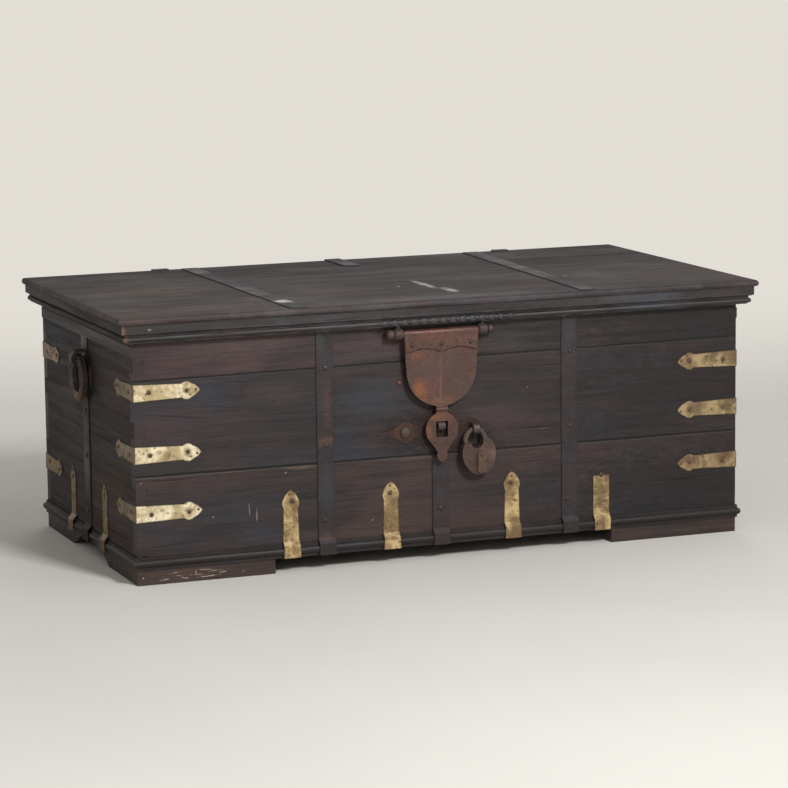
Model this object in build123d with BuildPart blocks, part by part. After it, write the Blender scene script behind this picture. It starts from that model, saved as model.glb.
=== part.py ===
from build123d import *
from math import cos, sin, radians, sqrt
import os

# Damchiya chest: a low plank chest with a moulded lid, iron and brass straps, a hasp on a rod,
# a padlock and two ring handles.  Millimetres, +Z up, front towards -Y, floor at Z = 0.

# ---------------------------------------------------------------- carcass sizes
body_length = 1200.0
body_depth = 604.0
wall_height = 449.0
front_thickness = 22.0
end_thickness = 22.0
front_low_joint = 198.0
front_high_joint_left = 371.5
front_high_joint_right = 380.0
end_joint = 240.0
finger_height = 30.0
finger_pitch = 120.0
first_finger = 44.0
finger_count = 4
bottom_thickness = 16.0
bottom_board_count = 4
board_seam = 0.2

foot_height = 28.0
foot_length = 262.0
foot_side_top = 243.0
foot_side_bottom = 184.0
foot_thickness = 30.0

base_moulding_height = 24.0
base_moulding_projection = 8.0
base_moulding_step = 3.0
base_moulding_neck = 5.0
end_batten_height = 20.0
end_batten_thickness = 2.0
end_batten_drop = 42.0

# ---------------------------------------------------------------- lid sizes
lid_seat_gap = 0.3
lid_board_thickness = 12.2
lid_overhang = 32.0
lid_edge_radius = 5.5
largest_round_share = 0.48
front_lid_joint = -22.0
back_lid_joint = 112.0
lid_clearance = 4.0
lid_moulding_height = 34.0
lid_moulding_projection = 25.5
lid_moulding_foot = 15.5
lid_moulding_neck = 17.5
lid_moulding_bead = 21.5
lid_moulding_lip = 2.0
lid_moulding_groove = 4.0
lid_moulding_band = 16.0
lid_batten_width = 44.0
lid_batten_thickness = 18.0
lid_batten_wall_gap = 12.0
lid_batten_back_gap = 18.0
lid_batten_bevel = 3.0

# ---------------------------------------------------------------- iron straps
strap_width = 32.0
strap_thickness = 2.0
strap_top_gap = 6.0
strap_bend_rise = 6.4
strap_bend_drop = 3.2
strap_bend_share = 0.45
left_strap_x = -238.0
right_strap_x = 250.0
centre_strap_x = -12.0
end_strap_y = 6.0
end_strap_width = 38.0
lid_strap_left_x = -293.0
lid_strap_right_front_x = 281.0
lid_strap_right_back_x = 310.0
lid_strap_end_gap = 10.0

# ---------------------------------------------------------------- brass straps
brass_thickness = 1.4
corner_strap_length = 124.0
corner_strap_end_length = 118.0
corner_strap_width = 31.0
corner_strap_waist = 25.5
leaf_width = 33.0
leaf_length = 34.0
leaf_lobe_share = 0.26
leaf_notch_share = 0.52
leaf_point_share = 0.84
left_corner_heights = (131.0, 238.0, 351.0)
right_corner_heights = (142.0, 245.0, 338.0)
back_corner_heights = (131.0, 352.0)
base_strap_height = 126.0
base_strap_width = 33.0
base_strap_waist = 28.0
front_base_strap_x = (-307.0, -111.0, 132.0)
broken_strap_x = 316.0
broken_strap_height = 104.0
end_base_strap_y = (-105.0, 108.0)

# ---------------------------------------------------------------- hinges
hinge_pitch = 365.0
hinge_centre_x = 13.0
hinge_count = 3
hinge_standoff = 10.0
hinge_drop = 6.6
hinge_pin_radius = 3.0
hinge_knuckle_radius = 5.6
hinge_running_clearance = 0.05
hinge_side_gap = 0.5
hinge_middle_knuckle = 15.0
hinge_leaf_width = 32.0
hinge_leaf_length = 130.0
hinge_leaf_thickness = 2.5
hinge_top_lap = 14.0
hinge_middle_top_lap = 115.0

# ---------------------------------------------------------------- hasp and lock plate
lock_x = -14.0
hasp_rod_drop = 15.3
hasp_rod_standoff = 12.0
hasp_rod_radius = 5.0
hasp_rod_side_gap = 1.5
hasp_rod_tail_radius = 8.5
hasp_rod_tail_length = 10.0
hasp_rod_tail_bevel = 2.0
hasp_rod_head_radius = 9.5
hasp_rod_head_length = 13.0
hasp_rod_head_bevel = 3.0
hasp_eye_width = 18.0
hasp_eye_radius = 11.0
hasp_eye_gap = 1.0
hasp_eye_bevel = 2.5
hasp_shank_radius = 3.0
hasp_shank_depth = 12.0
wrap_thickness = 2.0
wrap_drop = 36.0
wrap_cusp = 8.0
shield_thickness = 2.5
shield_top_width = 147.0
shield_width = 138.0
shield_length = 137.5
shield_top_gap = 1.0
rivet_radius = 4.5
rivet_spread = 58.0
rivet_drop = 21.0
rivet_height = 2.2
drop_pin_drop = 143.5
drop_pin_radius = 2.0
drop_knuckle_radius = 4.5
drop_tab_width = 22.0
drop_middle_knuckle = 8.0
drop_plate_drop = 37.5
drop_plate_radius = 32.0
drop_shoulder_angle = 45.0
drop_tip_length = 61.0
drop_tip_neck = 8.5
drop_tip_neck_down = 42.0
drop_tip_lobe = 10.0
drop_tip_lobe_down = 49.0
drop_hole_width = 24.0
drop_hole_height = 30.0
lock_plate_drop = 4.0
lock_plate_thickness = 2.5
lock_disc_radius = 41.0
lock_lobe_spacing = 67.0
lock_lobe_radius = 19.0
lock_point_start = 91.0
lock_point_half_width = 7.5
lock_point_length = 121.0
lock_nail_radius = 11.0
lock_nail_height = 6.0
nail_head_sides = 8
nail_head_top_share = 0.45
hasp_staple_width = 14.0
hasp_staple_height = 16.0
hasp_staple_bar = 4.0
hasp_staple_past_drop = 3.5
hasp_staple_top_gap = 1.5

# ---------------------------------------------------------------- padlock
padlock_staple_width = 12.0
padlock_staple_hole = 14.0
padlock_staple_bar = 3.5
padlock_tilt = 10.0
padlock_standoff = 14.0
padlock_thickness = 18.0
padlock_half_width = 33.0
padlock_length = 66.0
padlock_notch_radius = 12.5
padlock_shoulder_half_width = 26.0
padlock_waist_drop = 28.0
padlock_hip_half_width = 26.0
padlock_hip_drop = 50.0
padlock_belly_half_width = 15.5
padlock_belly_drop = 61.8
shackle_radius = 19.0
shackle_bar_radius = 4.5
shackle_bar_sides = 8
shackle_leg = 10.0
shackle_hole_clearance = 0.7
shackle_lug_radius = 5.0
shackle_pin_drop = 8.0
shackle_pin_radius = 2.0
shackle_side_gap = 0.3
padlock_shoulder = 4.0
hanging_gap = 0.3
key_cover_width = 18.0
key_cover_length = 43.0
key_cover_thickness = 2.0
key_cover_pin_radius = 2.5
key_cover_pin_down = 30.0
key_cover_gap = 0.3
key_cover_side = 5.0
key_cover_head_radius = 4.5
key_cover_head_thickness = 1.2

# ---------------------------------------------------------------- ring handles
ring_z = 339.0
ring_standoff = 13.5
ring_tube_radius = 9.0
ring_centre_radius = 36.0
ring_groove = 1.3
ring_ridges = 6
handle_staple_width = 20.0
handle_staple_bar = 4.5
handle_staple_clearance = 2.0
handle_staple_slack = 1.0

# ---------------------------------------------------------------- worked out
half_length = body_length / 2
half_depth = body_depth / 2
wall_top = foot_height + wall_height
lid_bottom = wall_top + lid_seat_gap
lid_top = lid_bottom + lid_board_thickness
base_top = foot_height + base_moulding_height
inner_length = body_length - 2 * end_thickness
inner_depth = body_depth - 2 * front_thickness
lid_back_edge = half_depth + lid_overhang - hinge_leaf_thickness
lid_front_edge = -(half_depth + lid_overhang)
lid_half_length = half_length + lid_overhang
moulding_bottom = lid_bottom - lid_moulding_height
moulding_band_bottom = lid_bottom - lid_moulding_band
hasp_rod_z = moulding_bottom - hasp_rod_drop
hasp_eye_reach = shield_top_width / 2 + hasp_eye_gap + hasp_eye_width
hasp_rod_reach = hasp_eye_reach + hasp_rod_side_gap
drop_pin_z = hasp_rod_z - drop_pin_drop
drop_plate_z = drop_pin_z - drop_plate_drop
lock_plate_z = drop_plate_z - lock_plate_drop
shield_back = hasp_rod_standoff + hasp_rod_radius + hinge_running_clearance - shield_thickness
shield_front = shield_back + shield_thickness
drop_axis_out = shield_back + shield_thickness / 2
hinge_axis_y = half_depth + hinge_standoff
hinge_axis_z = lid_bottom - hinge_drop

os.makedirs("parts", exist_ok=True)


def finish(builder, name):
    """Label a finished piece and write it."""
    builder.part.label = name
    export_step(builder.part, "parts/" + name + ".step")


def nail_head(plane, radius, height):
    """A forged nail head on a plane: a low many-sided block with sloping sides."""
    with BuildPart() as head:
        with BuildSketch(plane):
            RegularPolygon(radius, nail_head_sides)
        with BuildSketch(plane.offset(height)):
            RegularPolygon(radius * nail_head_top_share, nail_head_sides)
        loft(ruled=True)
    return head.part


def front_plane(outward, x=0, z=0):
    """The plane outward of the front face at x and z: sketch X is world X, sketch Y is up."""
    return Plane(origin=(x, -(half_depth + outward), z), x_dir=(1, 0, 0), z_dir=(0, -1, 0))


def side_plane(normal, distance):
    """A section plane across a run: sketch X points outward, sketch Y is up, +Z runs along."""
    outward = Vector(*normal)
    return Plane(origin=outward * distance, x_dir=outward, z_dir=outward.cross(Vector(0, 0, 1)))


# ---------------------------------------------------------------- carcass planks
def finger_levels():
    """Centre heights of the through fingers."""
    return [foot_height + first_finger + step * finger_pitch - finger_height for step in range(finger_count)]


def long_plank(name, side, low_left, low_right, high_left, high_right):
    """A front (side -1) or back (side +1) plank with notches for the end wall's fingers."""
    start = half_depth - front_thickness if side < 0 else -half_depth
    with BuildPart() as plank:
        with BuildSketch(Plane.XZ.offset(start)):
            with BuildLine():
                Polyline(
                    (-half_length, low_left),
                    (half_length, low_right),
                    (half_length, high_right),
                    (-half_length, high_left),
                    close=True,
                )
            make_face()
            finger_x = half_length - end_thickness / 2
            for level in finger_levels():
                with Locations((-finger_x, level), (finger_x, level)):
                    Rectangle(end_thickness, finger_height, mode=Mode.SUBTRACT)
        extrude(amount=front_thickness)
    finish(plank, name)


def end_plank(name, side, low, high):
    """A left (side -1) or right (side +1) end plank with fingers through the long walls."""
    start = -half_length if side < 0 else half_length - end_thickness
    with BuildPart() as plank:
        with BuildSketch(Plane.YZ.offset(start)):
            with Locations((0, foot_height + wall_height / 2)):
                Rectangle(inner_depth, wall_height)
            finger_y = half_depth - front_thickness / 2
            for level in finger_levels():
                with Locations((-finger_y, level), (finger_y, level)):
                    Rectangle(front_thickness, finger_height)
            with Locations((0, (low + high) / 2)):
                Rectangle(body_depth, high - low, mode=Mode.INTERSECT)
        extrude(amount=end_thickness)
    finish(plank, name)


for wall, side in (("front", -1), ("back", 1)):
    low = front_low_joint
    left = front_high_joint_left
    right = front_high_joint_right
    long_plank(wall + "_plank_lower", side, foot_height, foot_height, low, low)
    long_plank(wall + "_plank_middle", side, low, low, left, right)
    long_plank(wall + "_plank_upper", side, left, right, wall_top, wall_top)

for wall, side in (("left", -1), ("right", 1)):
    end_plank(wall + "_end_plank_lower", side, foot_height, end_joint)
    end_plank(wall + "_end_plank_upper", side, end_joint, wall_top)

with BuildPart() as bottom_boards:
    board_pitch = inner_depth / bottom_board_count
    with BuildSketch(Plane.XY.offset(foot_height)):
        with GridLocations(0, board_pitch, 1, bottom_board_count):
            Rectangle(inner_length, board_pitch - board_seam)
    extrude(amount=bottom_thickness)
finish(bottom_boards, "bottom_boards")


# ---------------------------------------------------------------- feet
def corner_foot(name, side_x, side_y):
    """A corner foot: a board along the long side and a board along the end with a slanted tail."""
    with BuildPart() as foot:
        with BuildSketch():
            front_x = side_x * (half_length - foot_length / 2)
            front_y = side_y * (half_depth - foot_thickness / 2)
            with Locations((front_x, front_y)):
                Rectangle(foot_length, foot_thickness)
        extrude(amount=foot_height)
        start = half_length - foot_thickness if side_x > 0 else -half_length
        butt = half_depth - foot_thickness - board_seam
        with BuildSketch(Plane.YZ.offset(start)):
            with BuildLine():
                Polyline(
                    (side_y * butt, 0),
                    (side_y * butt, foot_height),
                    (side_y * (half_depth - foot_side_top), foot_height),
                    (side_y * (half_depth - foot_side_bottom), 0),
                    close=True,
                )
            make_face()
        extrude(amount=foot_thickness)
    finish(foot, name)


for end, side_x in (("left", -1), ("right", 1)):
    corner_foot("foot_front_" + end, side_x, -1)
    corner_foot("foot_back_" + end, side_x, 1)


# ---------------------------------------------------------------- base moulding
def base_profile():
    """The roll-and-step section of the base moulding, outward of the wall face."""
    step = base_moulding_step
    out = base_moulding_projection
    neck_low = foot_height + base_moulding_neck
    neck_high = base_top - base_moulding_neck
    with BuildSketch() as section:
        with BuildLine():
            Polyline(
                (step, neck_low),
                (step, foot_height),
                (0, foot_height),
                (0, base_top),
                (step, base_top),
                (step, neck_high),
            )
            ThreePointArc((step, neck_high), (out, (neck_low + neck_high) / 2), (step, neck_low))
        make_face()
    return section.sketch


def mitred_length(normal, distance, half_run, mitres, section):
    """A moulding along one side, its ends cut by the named mitre planes."""
    plane = side_plane(normal, distance)
    with BuildPart() as length:
        with BuildSketch(plane):
            add(section)
        extrude(amount=half_run + 2 * lid_overhang, both=True)
        for sign in mitres:
            corner = plane.origin + plane.z_dir * (sign * half_run)
            split(bisect_by=Plane(origin=corner, z_dir=plane.z_dir * sign - plane.x_dir), keep=Keep.BOTTOM)
    return length


for wall, normal in (("front", (0, -1, 0)), ("back", (0, 1, 0))):
    strip = mitred_length(normal, half_depth, half_length, (-1, 1), base_profile())
    finish(strip, "base_moulding_" + wall)
for wall, normal in (("left", (-1, 0, 0)), ("right", (1, 0, 0))):
    strip = mitred_length(normal, half_length, half_depth, (-1, 1), base_profile())
    finish(strip, "base_moulding_" + wall)

with BuildPart() as end_battens:
    batten_z = wall_top - end_batten_drop - end_batten_height / 2
    for side in (-1, 1):
        with BuildSketch(Plane.YZ.offset(side * half_length)):
            with Locations((0, batten_z)):
                Rectangle(body_depth, end_batten_height)
        extrude(amount=side * end_batten_thickness)
finish(end_battens, "end_battens")


# ---------------------------------------------------------------- lid
def lid_board(name, front, back, front_round):
    """One lid board between two lengthwise joints, its outer edges rounded."""
    with BuildPart() as board:
        with BuildSketch(Plane.XY.offset(lid_bottom)):
            with Locations((0, (front + back) / 2)):
                Rectangle(2 * lid_half_length, back - front)
        extrude(amount=lid_board_thickness)
        long_edges = board.edges().filter_by(Axis.Y)
        rounded = long_edges
        if front_round:
            rounded = long_edges + board.edges().filter_by(Axis.X).group_by(Axis.Y)[0]
        fillet(rounded, min(lid_edge_radius, largest_round_share * lid_board_thickness))
    finish(board, name)


lid_board("lid_board_front", lid_front_edge, front_lid_joint, True)
lid_board("lid_board_middle", front_lid_joint, back_lid_joint, False)
lid_board("lid_board_back", back_lid_joint, lid_back_edge, False)


def lid_profile():
    """Section of the lid moulding: an upright band, a cut-in groove and a round bead at the foot."""
    groove_top = moulding_band_bottom - lid_moulding_lip
    bead_top = groove_top - lid_moulding_groove
    bead_foot = moulding_bottom + lid_moulding_lip
    with BuildSketch() as section:
        with BuildLine():
            Polyline(
                (lid_moulding_foot, bead_foot),
                (lid_moulding_foot, moulding_bottom),
                (lid_clearance, moulding_bottom),
                (lid_clearance, lid_bottom),
                (lid_moulding_projection, lid_bottom),
                (lid_moulding_projection, moulding_band_bottom),
                (lid_moulding_bead, groove_top),
                (lid_moulding_neck, groove_top),
                (lid_moulding_neck, bead_top),
            )
            ThreePointArc(
                (lid_moulding_neck, bead_top),
                (lid_moulding_bead, (bead_top + bead_foot) / 2),
                (lid_moulding_foot, bead_foot),
            )
        make_face()
    return section.sketch


def hasp_eye_positions():
    """Centre x of the two eyes that hang the hasp rod, just clear of the hasp."""
    side = hasp_eye_reach - hasp_eye_width / 2
    return (lock_x - side, lock_x + side)


front_strip = mitred_length((0, -1, 0), half_depth, half_length, (-1, 1), lid_profile())
with BuildPart() as lid_moulding_front:
    add(front_strip.part)
    shank_y = -(half_depth + hasp_rod_standoff)
    for eye_x in hasp_eye_positions():
        with Locations((eye_x, shank_y, moulding_bottom + hasp_shank_depth / 2)):
            Cylinder(hasp_shank_radius + hinge_running_clearance, hasp_shank_depth, mode=Mode.SUBTRACT)
finish(lid_moulding_front, "lid_moulding_front")

for wall, normal, front_sign in (("left", (-1, 0, 0), -1), ("right", (1, 0, 0), 1)):
    side_strip = mitred_length(normal, half_length, half_depth, (front_sign,), lid_profile())
    with BuildPart() as lid_moulding_side:
        add(side_strip.part)
        split(bisect_by=Plane.XZ.offset(-lid_back_edge), keep=Keep.TOP)
    finish(lid_moulding_side, "lid_moulding_" + wall)

with BuildPart() as lid_battens:
    batten_front = -half_depth + front_thickness + lid_batten_wall_gap
    batten_back = half_depth - front_thickness - lid_batten_back_gap
    right_batten_x = (lid_strap_right_front_x + lid_strap_right_back_x) / 2
    with BuildSketch(Plane.XY.offset(lid_bottom)):
        for batten_x in (lid_strap_left_x, right_batten_x):
            with Locations((batten_x, (batten_front + batten_back) / 2)):
                Rectangle(lid_batten_width, batten_back - batten_front)
    extrude(amount=-lid_batten_thickness)
    chamfer(lid_battens.edges().group_by(Axis.Z)[0], lid_batten_bevel)
finish(lid_battens, "lid_battens")

with BuildPart() as lid_straps:
    strap_front = lid_front_edge + lid_strap_end_gap
    strap_back = lid_back_edge - lid_strap_end_gap
    half_strap = strap_width / 2
    strap_lines = (
        (lid_strap_left_x, lid_strap_left_x),
        (lid_strap_right_front_x, lid_strap_right_back_x),
    )
    with BuildSketch(Plane.XY.offset(lid_top)):
        for front_x, back_x in strap_lines:
            with BuildLine():
                Polyline(
                    (front_x - half_strap, strap_front),
                    (front_x + half_strap, strap_front),
                    (back_x + half_strap, strap_back),
                    (back_x - half_strap, strap_back),
                    close=True,
                )
            make_face()
    extrude(amount=strap_thickness)
finish(lid_straps, "lid_straps")


# ---------------------------------------------------------------- straps bent over the base moulding
def strap_section(thickness, top):
    """Side section of a strap that lies on a wall and is bent out over the base moulding."""
    out = base_moulding_projection
    bend_top = base_top + strap_bend_rise
    bend_low = base_top - strap_bend_drop
    lift = thickness * strap_bend_share
    with BuildSketch() as section:
        with BuildLine():
            Polyline(
                (0, top),
                (0, bend_top),
                (out, bend_low),
                (out, foot_height),
                (out + thickness, foot_height),
                (out + thickness, bend_low + lift),
                (thickness, bend_top + lift),
                (thickness, top),
                close=True,
            )
        make_face()
    return section.sketch


def leaf_outline(length, root_width, waist_width, lobe_width):
    """A strap outline from the origin along +Y, ending in a lobed leaf with a pointed tip."""
    neck = length - leaf_length
    with BuildSketch() as outline:
        with BuildLine():
            Polyline((0, length), (0, 0), (root_width / 2, 0), (waist_width / 2, neck))
            ThreePointArc(
                (waist_width / 2, neck),
                (lobe_width / 2, neck + leaf_length * leaf_lobe_share),
                (waist_width / 2, neck + leaf_length * leaf_notch_share),
            )
            ThreePointArc(
                (waist_width / 2, neck + leaf_length * leaf_notch_share),
                (waist_width / 4, neck + leaf_length * leaf_point_share),
                (0, length),
            )
        make_face()
        mirror(about=Plane.YZ)
    return outline.sketch


def wall_strap(normal, distance, along, width, thickness, top):
    """An iron strap up a wall, its centre at the given place along the wall."""
    plane = side_plane(normal, distance)
    shift = along.dot(plane.z_dir)
    start = Plane(origin=plane.origin + plane.z_dir * shift, x_dir=plane.x_dir, z_dir=plane.z_dir)
    with BuildPart() as strap:
        with BuildSketch(start):
            add(strap_section(thickness, top))
        extrude(amount=width / 2, both=True)
    return strap


front_normal = (0, -1, 0)
strap_top = wall_top - strap_top_gap
lock_plate_bottom = lock_plate_z - lock_disc_radius
front_straps = (
    ("left", left_strap_x, strap_top),
    ("right", right_strap_x, strap_top),
    ("centre", centre_strap_x, lock_plate_bottom - strap_thickness),
)
for place, strap_x, top in front_straps:
    strap = wall_strap(front_normal, half_depth, Vector(strap_x, 0, 0), strap_width, strap_thickness, top)
    finish(strap, "front_strap_" + place)

with BuildPart() as end_straps:
    for normal in ((-1, 0, 0), (1, 0, 0)):
        along = Vector(0, end_strap_y, 0)
        top = batten_z - end_batten_height / 2
        add(wall_strap(normal, half_length, along, end_strap_width, strap_thickness, top).part)
finish(end_straps, "end_straps")


# ---------------------------------------------------------------- brass straps
def wall_plane(origin, direction, normal):
    """A plane on a wall: sketch Y runs in the given direction, +Z out of the wall."""
    run = Vector(*direction)
    outward = Vector(*normal)
    return Plane(origin=origin, x_dir=run.cross(outward), z_dir=outward)


def corner_strap(side_x, side_y, height):
    """A brass strap folded round a corner, with a leaf tip on each wall."""
    corner = Vector(side_x * half_length, side_y * half_depth, height)
    legs = (
        (Vector(-side_x, 0, 0), Vector(0, side_y, 0), Vector(side_x, 0, 0), corner_strap_length),
        (Vector(0, -side_y, 0), Vector(side_x, 0, 0), Vector(0, side_y, 0), corner_strap_end_length),
    )
    with BuildPart() as strap:
        for run, outward, beyond, length in legs:
            leg = wall_plane(corner + beyond * brass_thickness, run, outward)
            with BuildSketch(leg):
                add(
                    leaf_outline(
                        length + brass_thickness, corner_strap_width, corner_strap_waist, leaf_width
                    )
                )
            extrude(amount=brass_thickness)
    return strap


corner_groups = (
    ("front_left", -1, -1, left_corner_heights),
    ("front_right", 1, -1, right_corner_heights),
    ("back_left", -1, 1, back_corner_heights),
    ("back_right", 1, 1, back_corner_heights),
)
for place, side_x, side_y, heights in corner_groups:
    with BuildPart() as corner_straps:
        for height in heights:
            add(corner_strap(side_x, side_y, height).part)
    finish(corner_straps, "corner_straps_" + place)


def base_strap(normal, distance, along, height, leaf_tip):
    """A brass strap up from the base moulding, ending in a leaf tip or a broken square end."""
    plane = side_plane(normal, distance)
    foot = plane.origin + along + Vector(0, 0, foot_height)
    blank = wall_strap(normal, distance, along, leaf_width, brass_thickness, foot_height + height)
    with BuildPart() as strap:
        add(blank.part)
        with BuildSketch(wall_plane(foot, (0, 0, 1), normal)):
            if leaf_tip:
                add(leaf_outline(height, base_strap_width, base_strap_waist, leaf_width))
            else:
                with Locations((0, height / 2)):
                    Rectangle(base_strap_width, height)
        extrude(amount=2 * base_moulding_projection, mode=Mode.INTERSECT)
    return strap


with BuildPart() as base_straps_front:
    for strap_x in front_base_strap_x:
        add(base_strap(front_normal, half_depth, Vector(strap_x, 0, 0), base_strap_height, True).part)
    broken = Vector(broken_strap_x, 0, 0)
    add(base_strap(front_normal, half_depth, broken, broken_strap_height, False).part)
finish(base_straps_front, "base_straps_front")

with BuildPart() as base_straps_ends:
    for normal in ((-1, 0, 0), (1, 0, 0)):
        for strap_y in end_base_strap_y:
            add(base_strap(normal, half_length, Vector(0, strap_y, 0), base_strap_height, True).part)
finish(base_straps_ends, "base_straps_ends")


# ---------------------------------------------------------------- lid hinges
def hinge_places():
    """Centre x of each hinge."""
    first = hinge_centre_x - hinge_pitch * (hinge_count - 1) / 2
    return [first + hinge_pitch * step for step in range(hinge_count)]


outer_knuckle = (hinge_leaf_width - hinge_middle_knuckle) / 2 - hinge_side_gap
outer_shift = hinge_leaf_width / 2 - outer_knuckle / 2

with BuildPart() as hinge_lower_leaves:
    leaf_top = hinge_axis_z
    for hinge_x in hinge_places():
        with BuildSketch(Plane.XZ.offset(-half_depth - hinge_leaf_thickness)):
            with Locations((hinge_x, leaf_top - hinge_knuckle_radius - hinge_leaf_length / 2)):
                Rectangle(hinge_leaf_width, hinge_leaf_length)
        extrude(amount=hinge_leaf_thickness)
        with BuildSketch(Plane.YZ.offset(hinge_x - hinge_middle_knuckle / 2)):
            with BuildLine():
                Polyline(
                    (half_depth, leaf_top - hinge_knuckle_radius - hinge_leaf_thickness),
                    (half_depth, leaf_top),
                    (hinge_axis_y - hinge_knuckle_radius + hinge_leaf_thickness / 2, leaf_top),
                    (hinge_axis_y, leaf_top - hinge_knuckle_radius),
                    (half_depth + hinge_leaf_thickness, leaf_top - 2 * hinge_knuckle_radius),
                    close=True,
                )
            make_face()
            with Locations((hinge_axis_y, hinge_axis_z)):
                Circle(hinge_knuckle_radius)
                Circle(hinge_pin_radius + hinge_running_clearance, mode=Mode.SUBTRACT)
        extrude(amount=hinge_middle_knuckle)
finish(hinge_lower_leaves, "hinge_lower_leaves")

with BuildPart() as hinge_pins:
    for hinge_x in hinge_places():
        with BuildSketch(Plane.YZ.offset(hinge_x - hinge_leaf_width / 2)):
            with Locations((hinge_axis_y, hinge_axis_z)):
                Circle(hinge_pin_radius)
        extrude(amount=hinge_leaf_width)
finish(hinge_pins, "hinge_pins")

with BuildPart() as hinge_upper_leaves:
    under = lid_bottom - hinge_leaf_thickness
    over = lid_top + hinge_leaf_thickness
    edge = lid_back_edge + hinge_leaf_thickness
    for place, hinge_x in enumerate(hinge_places()):
        middle = place == hinge_count // 2
        lap = hinge_middle_top_lap if middle else hinge_top_lap
        with BuildSketch(Plane.YZ.offset(hinge_x - hinge_leaf_width / 2)):
            with BuildLine():
                Polyline(
                    (hinge_axis_y, under),
                    (hinge_axis_y, lid_bottom),
                    (lid_back_edge, lid_bottom),
                    (lid_back_edge, lid_top),
                    (lid_back_edge - lap, lid_top),
                    (lid_back_edge - lap, over),
                    (edge, over),
                    (edge, under),
                    close=True,
                )
            make_face()
        extrude(amount=hinge_leaf_width)
        for sign in (-1, 1):
            with BuildSketch(Plane.YZ.offset(hinge_x + sign * outer_shift - outer_knuckle / 2)):
                with BuildLine():
                    Polyline(
                        (hinge_axis_y, hinge_axis_z),
                        (hinge_axis_y, lid_bottom),
                        (hinge_axis_y + hinge_knuckle_radius, lid_bottom),
                        (hinge_axis_y + hinge_knuckle_radius, hinge_axis_z),
                        close=True,
                    )
                make_face()
                with Locations((hinge_axis_y, hinge_axis_z)):
                    Circle(hinge_knuckle_radius)
                    Circle(hinge_pin_radius + hinge_running_clearance, mode=Mode.SUBTRACT)
            extrude(amount=outer_knuckle)
        with BuildSketch(Plane.YZ.offset(hinge_x - hinge_middle_knuckle / 2 - hinge_side_gap)):
            with Locations((hinge_axis_y, hinge_axis_z)):
                Circle(hinge_knuckle_radius + hinge_side_gap)
        extrude(amount=hinge_middle_knuckle + 2 * hinge_side_gap, mode=Mode.SUBTRACT)
finish(hinge_upper_leaves, "hinge_upper_leaves")


# ---------------------------------------------------------------- hasp, hung from a rod under the lid
def loop_section(reach, height, bar, centre_z):
    """Side section of a staple: two legs out of the wall joined by a round end, outward of the wall."""
    radius = height / 2
    with BuildSketch() as section:
        with Locations(((reach - radius) / 2, centre_z)):
            Rectangle(reach - radius, height)
        with Locations((reach - radius, centre_z)):
            Circle(radius)
        with Locations(((reach - radius) / 2, centre_z)):
            Rectangle(reach - radius, height - 2 * bar, mode=Mode.SUBTRACT)
        with Locations((reach - radius, centre_z)):
            Circle(radius - bar, mode=Mode.SUBTRACT)
    return section.sketch


def front_section(centre_x):
    """A section plane across the front: sketch X outward from the wall, sketch Y up."""
    plane = side_plane(front_normal, half_depth)
    return Plane(origin=plane.origin + Vector(centre_x, 0, 0), x_dir=plane.x_dir, z_dir=plane.z_dir)


with BuildPart() as hasp_rod:
    with BuildSketch(front_section(lock_x)):
        with Locations((hasp_rod_standoff, hasp_rod_z)):
            Circle(hasp_rod_radius)
    extrude(amount=hasp_rod_reach, both=True)
    with BuildSketch(front_section(lock_x - hasp_rod_reach)):
        with Locations((hasp_rod_standoff, hasp_rod_z)):
            Circle(hasp_rod_head_radius)
    extrude(amount=hasp_rod_head_length)
    chamfer(hasp_rod.edges().group_by(Axis.X)[0], hasp_rod_head_bevel)
    with BuildSketch(front_section(lock_x + hasp_rod_reach)):
        with Locations((hasp_rod_standoff, hasp_rod_z)):
            Circle(hasp_rod_tail_radius)
    extrude(amount=-hasp_rod_tail_length)
    chamfer(hasp_rod.edges().group_by(Axis.X)[-1], hasp_rod_tail_bevel)
finish(hasp_rod, "hasp_rod")

with BuildPart() as hasp_eyes:
    for eye_x in hasp_eye_positions():
        with BuildSketch(front_section(eye_x)):
            with Locations((hasp_rod_standoff, hasp_rod_z)):
                Circle(hasp_eye_radius)
                Circle(hasp_rod_radius + hinge_running_clearance, mode=Mode.SUBTRACT)
        extrude(amount=hasp_eye_width / 2, both=True)
        shank_low = hasp_rod_z + (hasp_rod_radius + hasp_eye_radius) / 2
        shank_top = moulding_bottom + hasp_shank_depth - hinge_running_clearance
        with BuildSketch(Plane.XY.offset(shank_low)):
            with Locations((eye_x, -(half_depth + hasp_rod_standoff))):
                Circle(hasp_shank_radius)
        extrude(amount=shank_top - shank_low)
    eye_rims = hasp_eyes.edges().filter_by(GeomType.CIRCLE).group_by(SortBy.RADIUS)[-1]
    chamfer(eye_rims, hasp_eye_bevel)
finish(hasp_eyes, "hasp_eyes")

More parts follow.
